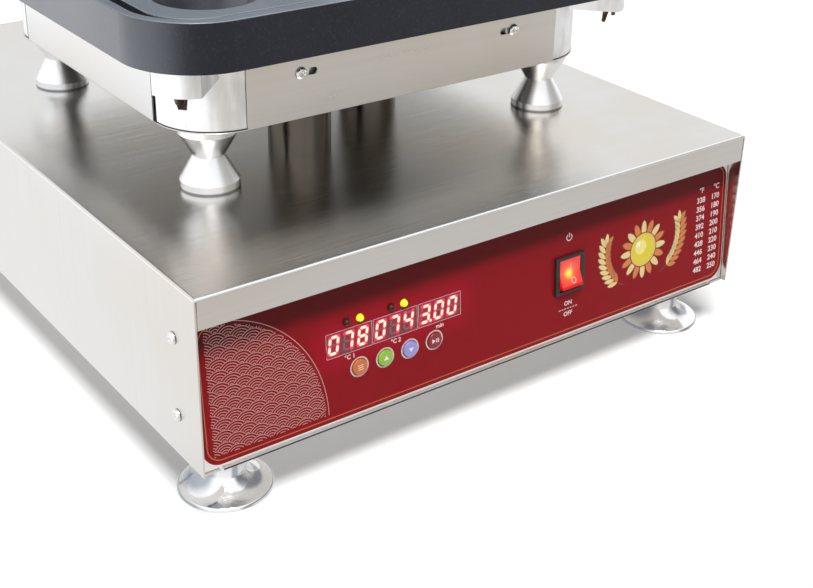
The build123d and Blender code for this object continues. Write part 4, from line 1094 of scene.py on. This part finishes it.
class TARTLET_OT_stage(bpy.types.Operator):
    """Floor, studio light and camera"""

    bl_idname = "tartlet.stage"
    bl_label = "Stage"

    def execute(self, context):
        stage = context.scene.tartlet_stage
        self.floor(stage)
        self.studio(context, stage)
        self.camera(context, stage)
        return {"FINISHED"}

    def floor(self, stage):
        """White floor that shows shaded steps, in metres from the middle, to the faces that mirror it."""
        reach = 6.0
        corners = [(-reach, -reach, 0), (reach, -reach, 0), (reach, reach, 0), (-reach, reach, 0)]
        finish = Finish("floor_paint", base_color=stage.floor, roughness=0.9, specular_ior_level=0.1)
        x, y = finish.along("X"), finish.along("Y")
        front = finish.between(finish.step(0 - y, 0.62, 0.95), stage.near, stage.far)
        front = finish.between(finish.step(x, 1.08, 1.25), front, (1.2, 1.21, 1.23))
        side = finish.between(finish.step(0 - x, 0.4, 0.55), [stage.side] * 3,
                              [stage.side * tint for tint in (1.38, 1.41, 1.47)])
        mirrored = finish.between(finish.step(y - x, -0.35, 0.15), front, side)
        glossy = finish.ray("Is Glossy Ray")
        color = finish.between(glossy, (1.0, 1.0, 1.0), mirrored)
        white = finish.node("ShaderNodeEmission", None, {"Color": color, "Strength": 1.0})
        share = finish.ray("Is Camera Ray") * stage.fill + glossy * 0.9
        mixed = finish.node("ShaderNodeMixShader", None,
                            {0: share, 1: Flow(finish, finish.shader.outputs[0]), 2: white})
        end = next(n for n in finish.tree.nodes if n.type == "OUTPUT_MATERIAL")
        finish.feed(end.inputs[0], mixed)
        placed("floor", mesh_of("floor", corners, [[0, 1, 2, 3]]), finish)

    def studio(self, context, stage):
        """White surroundings that light dimly and mirror darker low at the front right, and a sun lamp."""
        world = bpy.data.worlds.new("studio")
        context.scene.world = world
        world.use_nodes = True
        world.node_tree.nodes.clear()
        air = Shading(world.node_tree)
        way = air.node("ShaderNodeTexCoord", out="Generated")
        x, y, z = (air.part(way, axis) for axis in "XYZ")
        mirrored = air.between(air.step(0 - x, 0.25, 0.6), (0.98, 0.99, 1.0), (1.12, 1.13, 1.15))
        low_front = air.step(0 - y, -0.1, 0.35) * air.step(x, 0.2, 0.5) * (1 - air.step(z, 0.45, 0.75))
        mirrored = air.between(low_front, mirrored, stage.room)
        color = air.between(air.ray("Is Glossy Ray"), [stage.sky] * 3, mirrored)
        color = air.between(air.ray("Is Camera Ray"), color, (1.0, 1.0, 1.0))
        light = air.node("ShaderNodeBackground", None, {"Color": color, "Strength": 1.0})
        end = air.tree.nodes.new("ShaderNodeOutputWorld")
        air.feed(end.inputs[0], light)
        lamp = bpy.data.lights.new("key", "SUN")
        lamp.energy = stage.key
        lamp.angle = math.radians(20)
        item = bpy.data.objects.new("key", lamp)
        item.rotation_euler = Vector((0.2, 0.4, -1.0)).to_track_quat("-Z", "Y").to_euler()
        context.scene.collection.objects.link(item)

    def camera(self, context, stage):
        azimuth, dip, roll = (math.radians(a) for a in CAMERA_TURN)
        level = math.cos(dip)
        ahead = Vector((math.sin(azimuth) * level, math.cos(azimuth) * level, -math.sin(dip)))
        right = ahead.cross(Vector((0, 0, 1))).normalized()
        down = ahead.cross(right)
        across = right * math.cos(roll) + down * math.sin(roll)
        below = down * math.cos(roll) - right * math.sin(roll)
        lens = bpy.data.cameras.new("camera")
        lens.sensor_width = 36.0
        lens.lens = stage.lens
        lens.shift_x, lens.shift_y = CAMERA_SHIFT
        item = bpy.data.objects.new("camera", lens)
        turn = Matrix((across, -below, -ahead)).transposed().to_4x4()
        item.matrix_world = Matrix.Translation(CAMERA_PLACE) @ turn
        context.scene.collection.objects.link(item)
        context.scene.camera = item
        context.scene.view_settings.view_transform = "Standard"


STEPS = (TARTLET_OT_sheet_metal, TARTLET_OT_posts_and_feet, TARTLET_OT_heating_units,
         TARTLET_OT_hinge_and_handle, TARTLET_OT_inner_parts, TARTLET_OT_screws, TARTLET_OT_film,
         TARTLET_OT_displays, TARTLET_OT_keys_and_lamps, TARTLET_OT_switch, TARTLET_OT_stage)
SETTINGS = (StageSettings, SteelSettings, PanelSettings)


class TARTLET_PT_tools(bpy.types.Panel):
    bl_label = "Tartlet maker"
    bl_idname = "TARTLET_PT_tools"
    bl_space_type = "VIEW_3D"
    bl_region_type = "UI"
    bl_category = "Tartlet maker"

    def draw(self, context):
        scene = context.scene
        for settings in (scene.tartlet_stage, scene.tartlet_steel, scene.tartlet_panel):
            box = self.layout.box()
            for name in settings.__annotations__:
                box.prop(settings, name)
        for step in STEPS:
            self.layout.operator(step.bl_idname)


def register():
    for kind in (*SETTINGS, *STEPS, TARTLET_PT_tools):
        bpy.utils.register_class(kind)
    bpy.types.Scene.tartlet_stage = PointerProperty(type=StageSettings)
    bpy.types.Scene.tartlet_steel = PointerProperty(type=SteelSettings)
    bpy.types.Scene.tartlet_panel = PointerProperty(type=PanelSettings)


def unregister():
    del bpy.types.Scene.tartlet_stage, bpy.types.Scene.tartlet_steel, bpy.types.Scene.tartlet_panel
    for kind in reversed((*SETTINGS, *STEPS, TARTLET_PT_tools)):
        bpy.utils.unregister_class(kind)


def main():
    register()
    for step in STEPS:
        area, name = step.bl_idname.split(".")
        getattr(getattr(bpy.ops, area), name)()


if __name__ == "__main__":
    main()
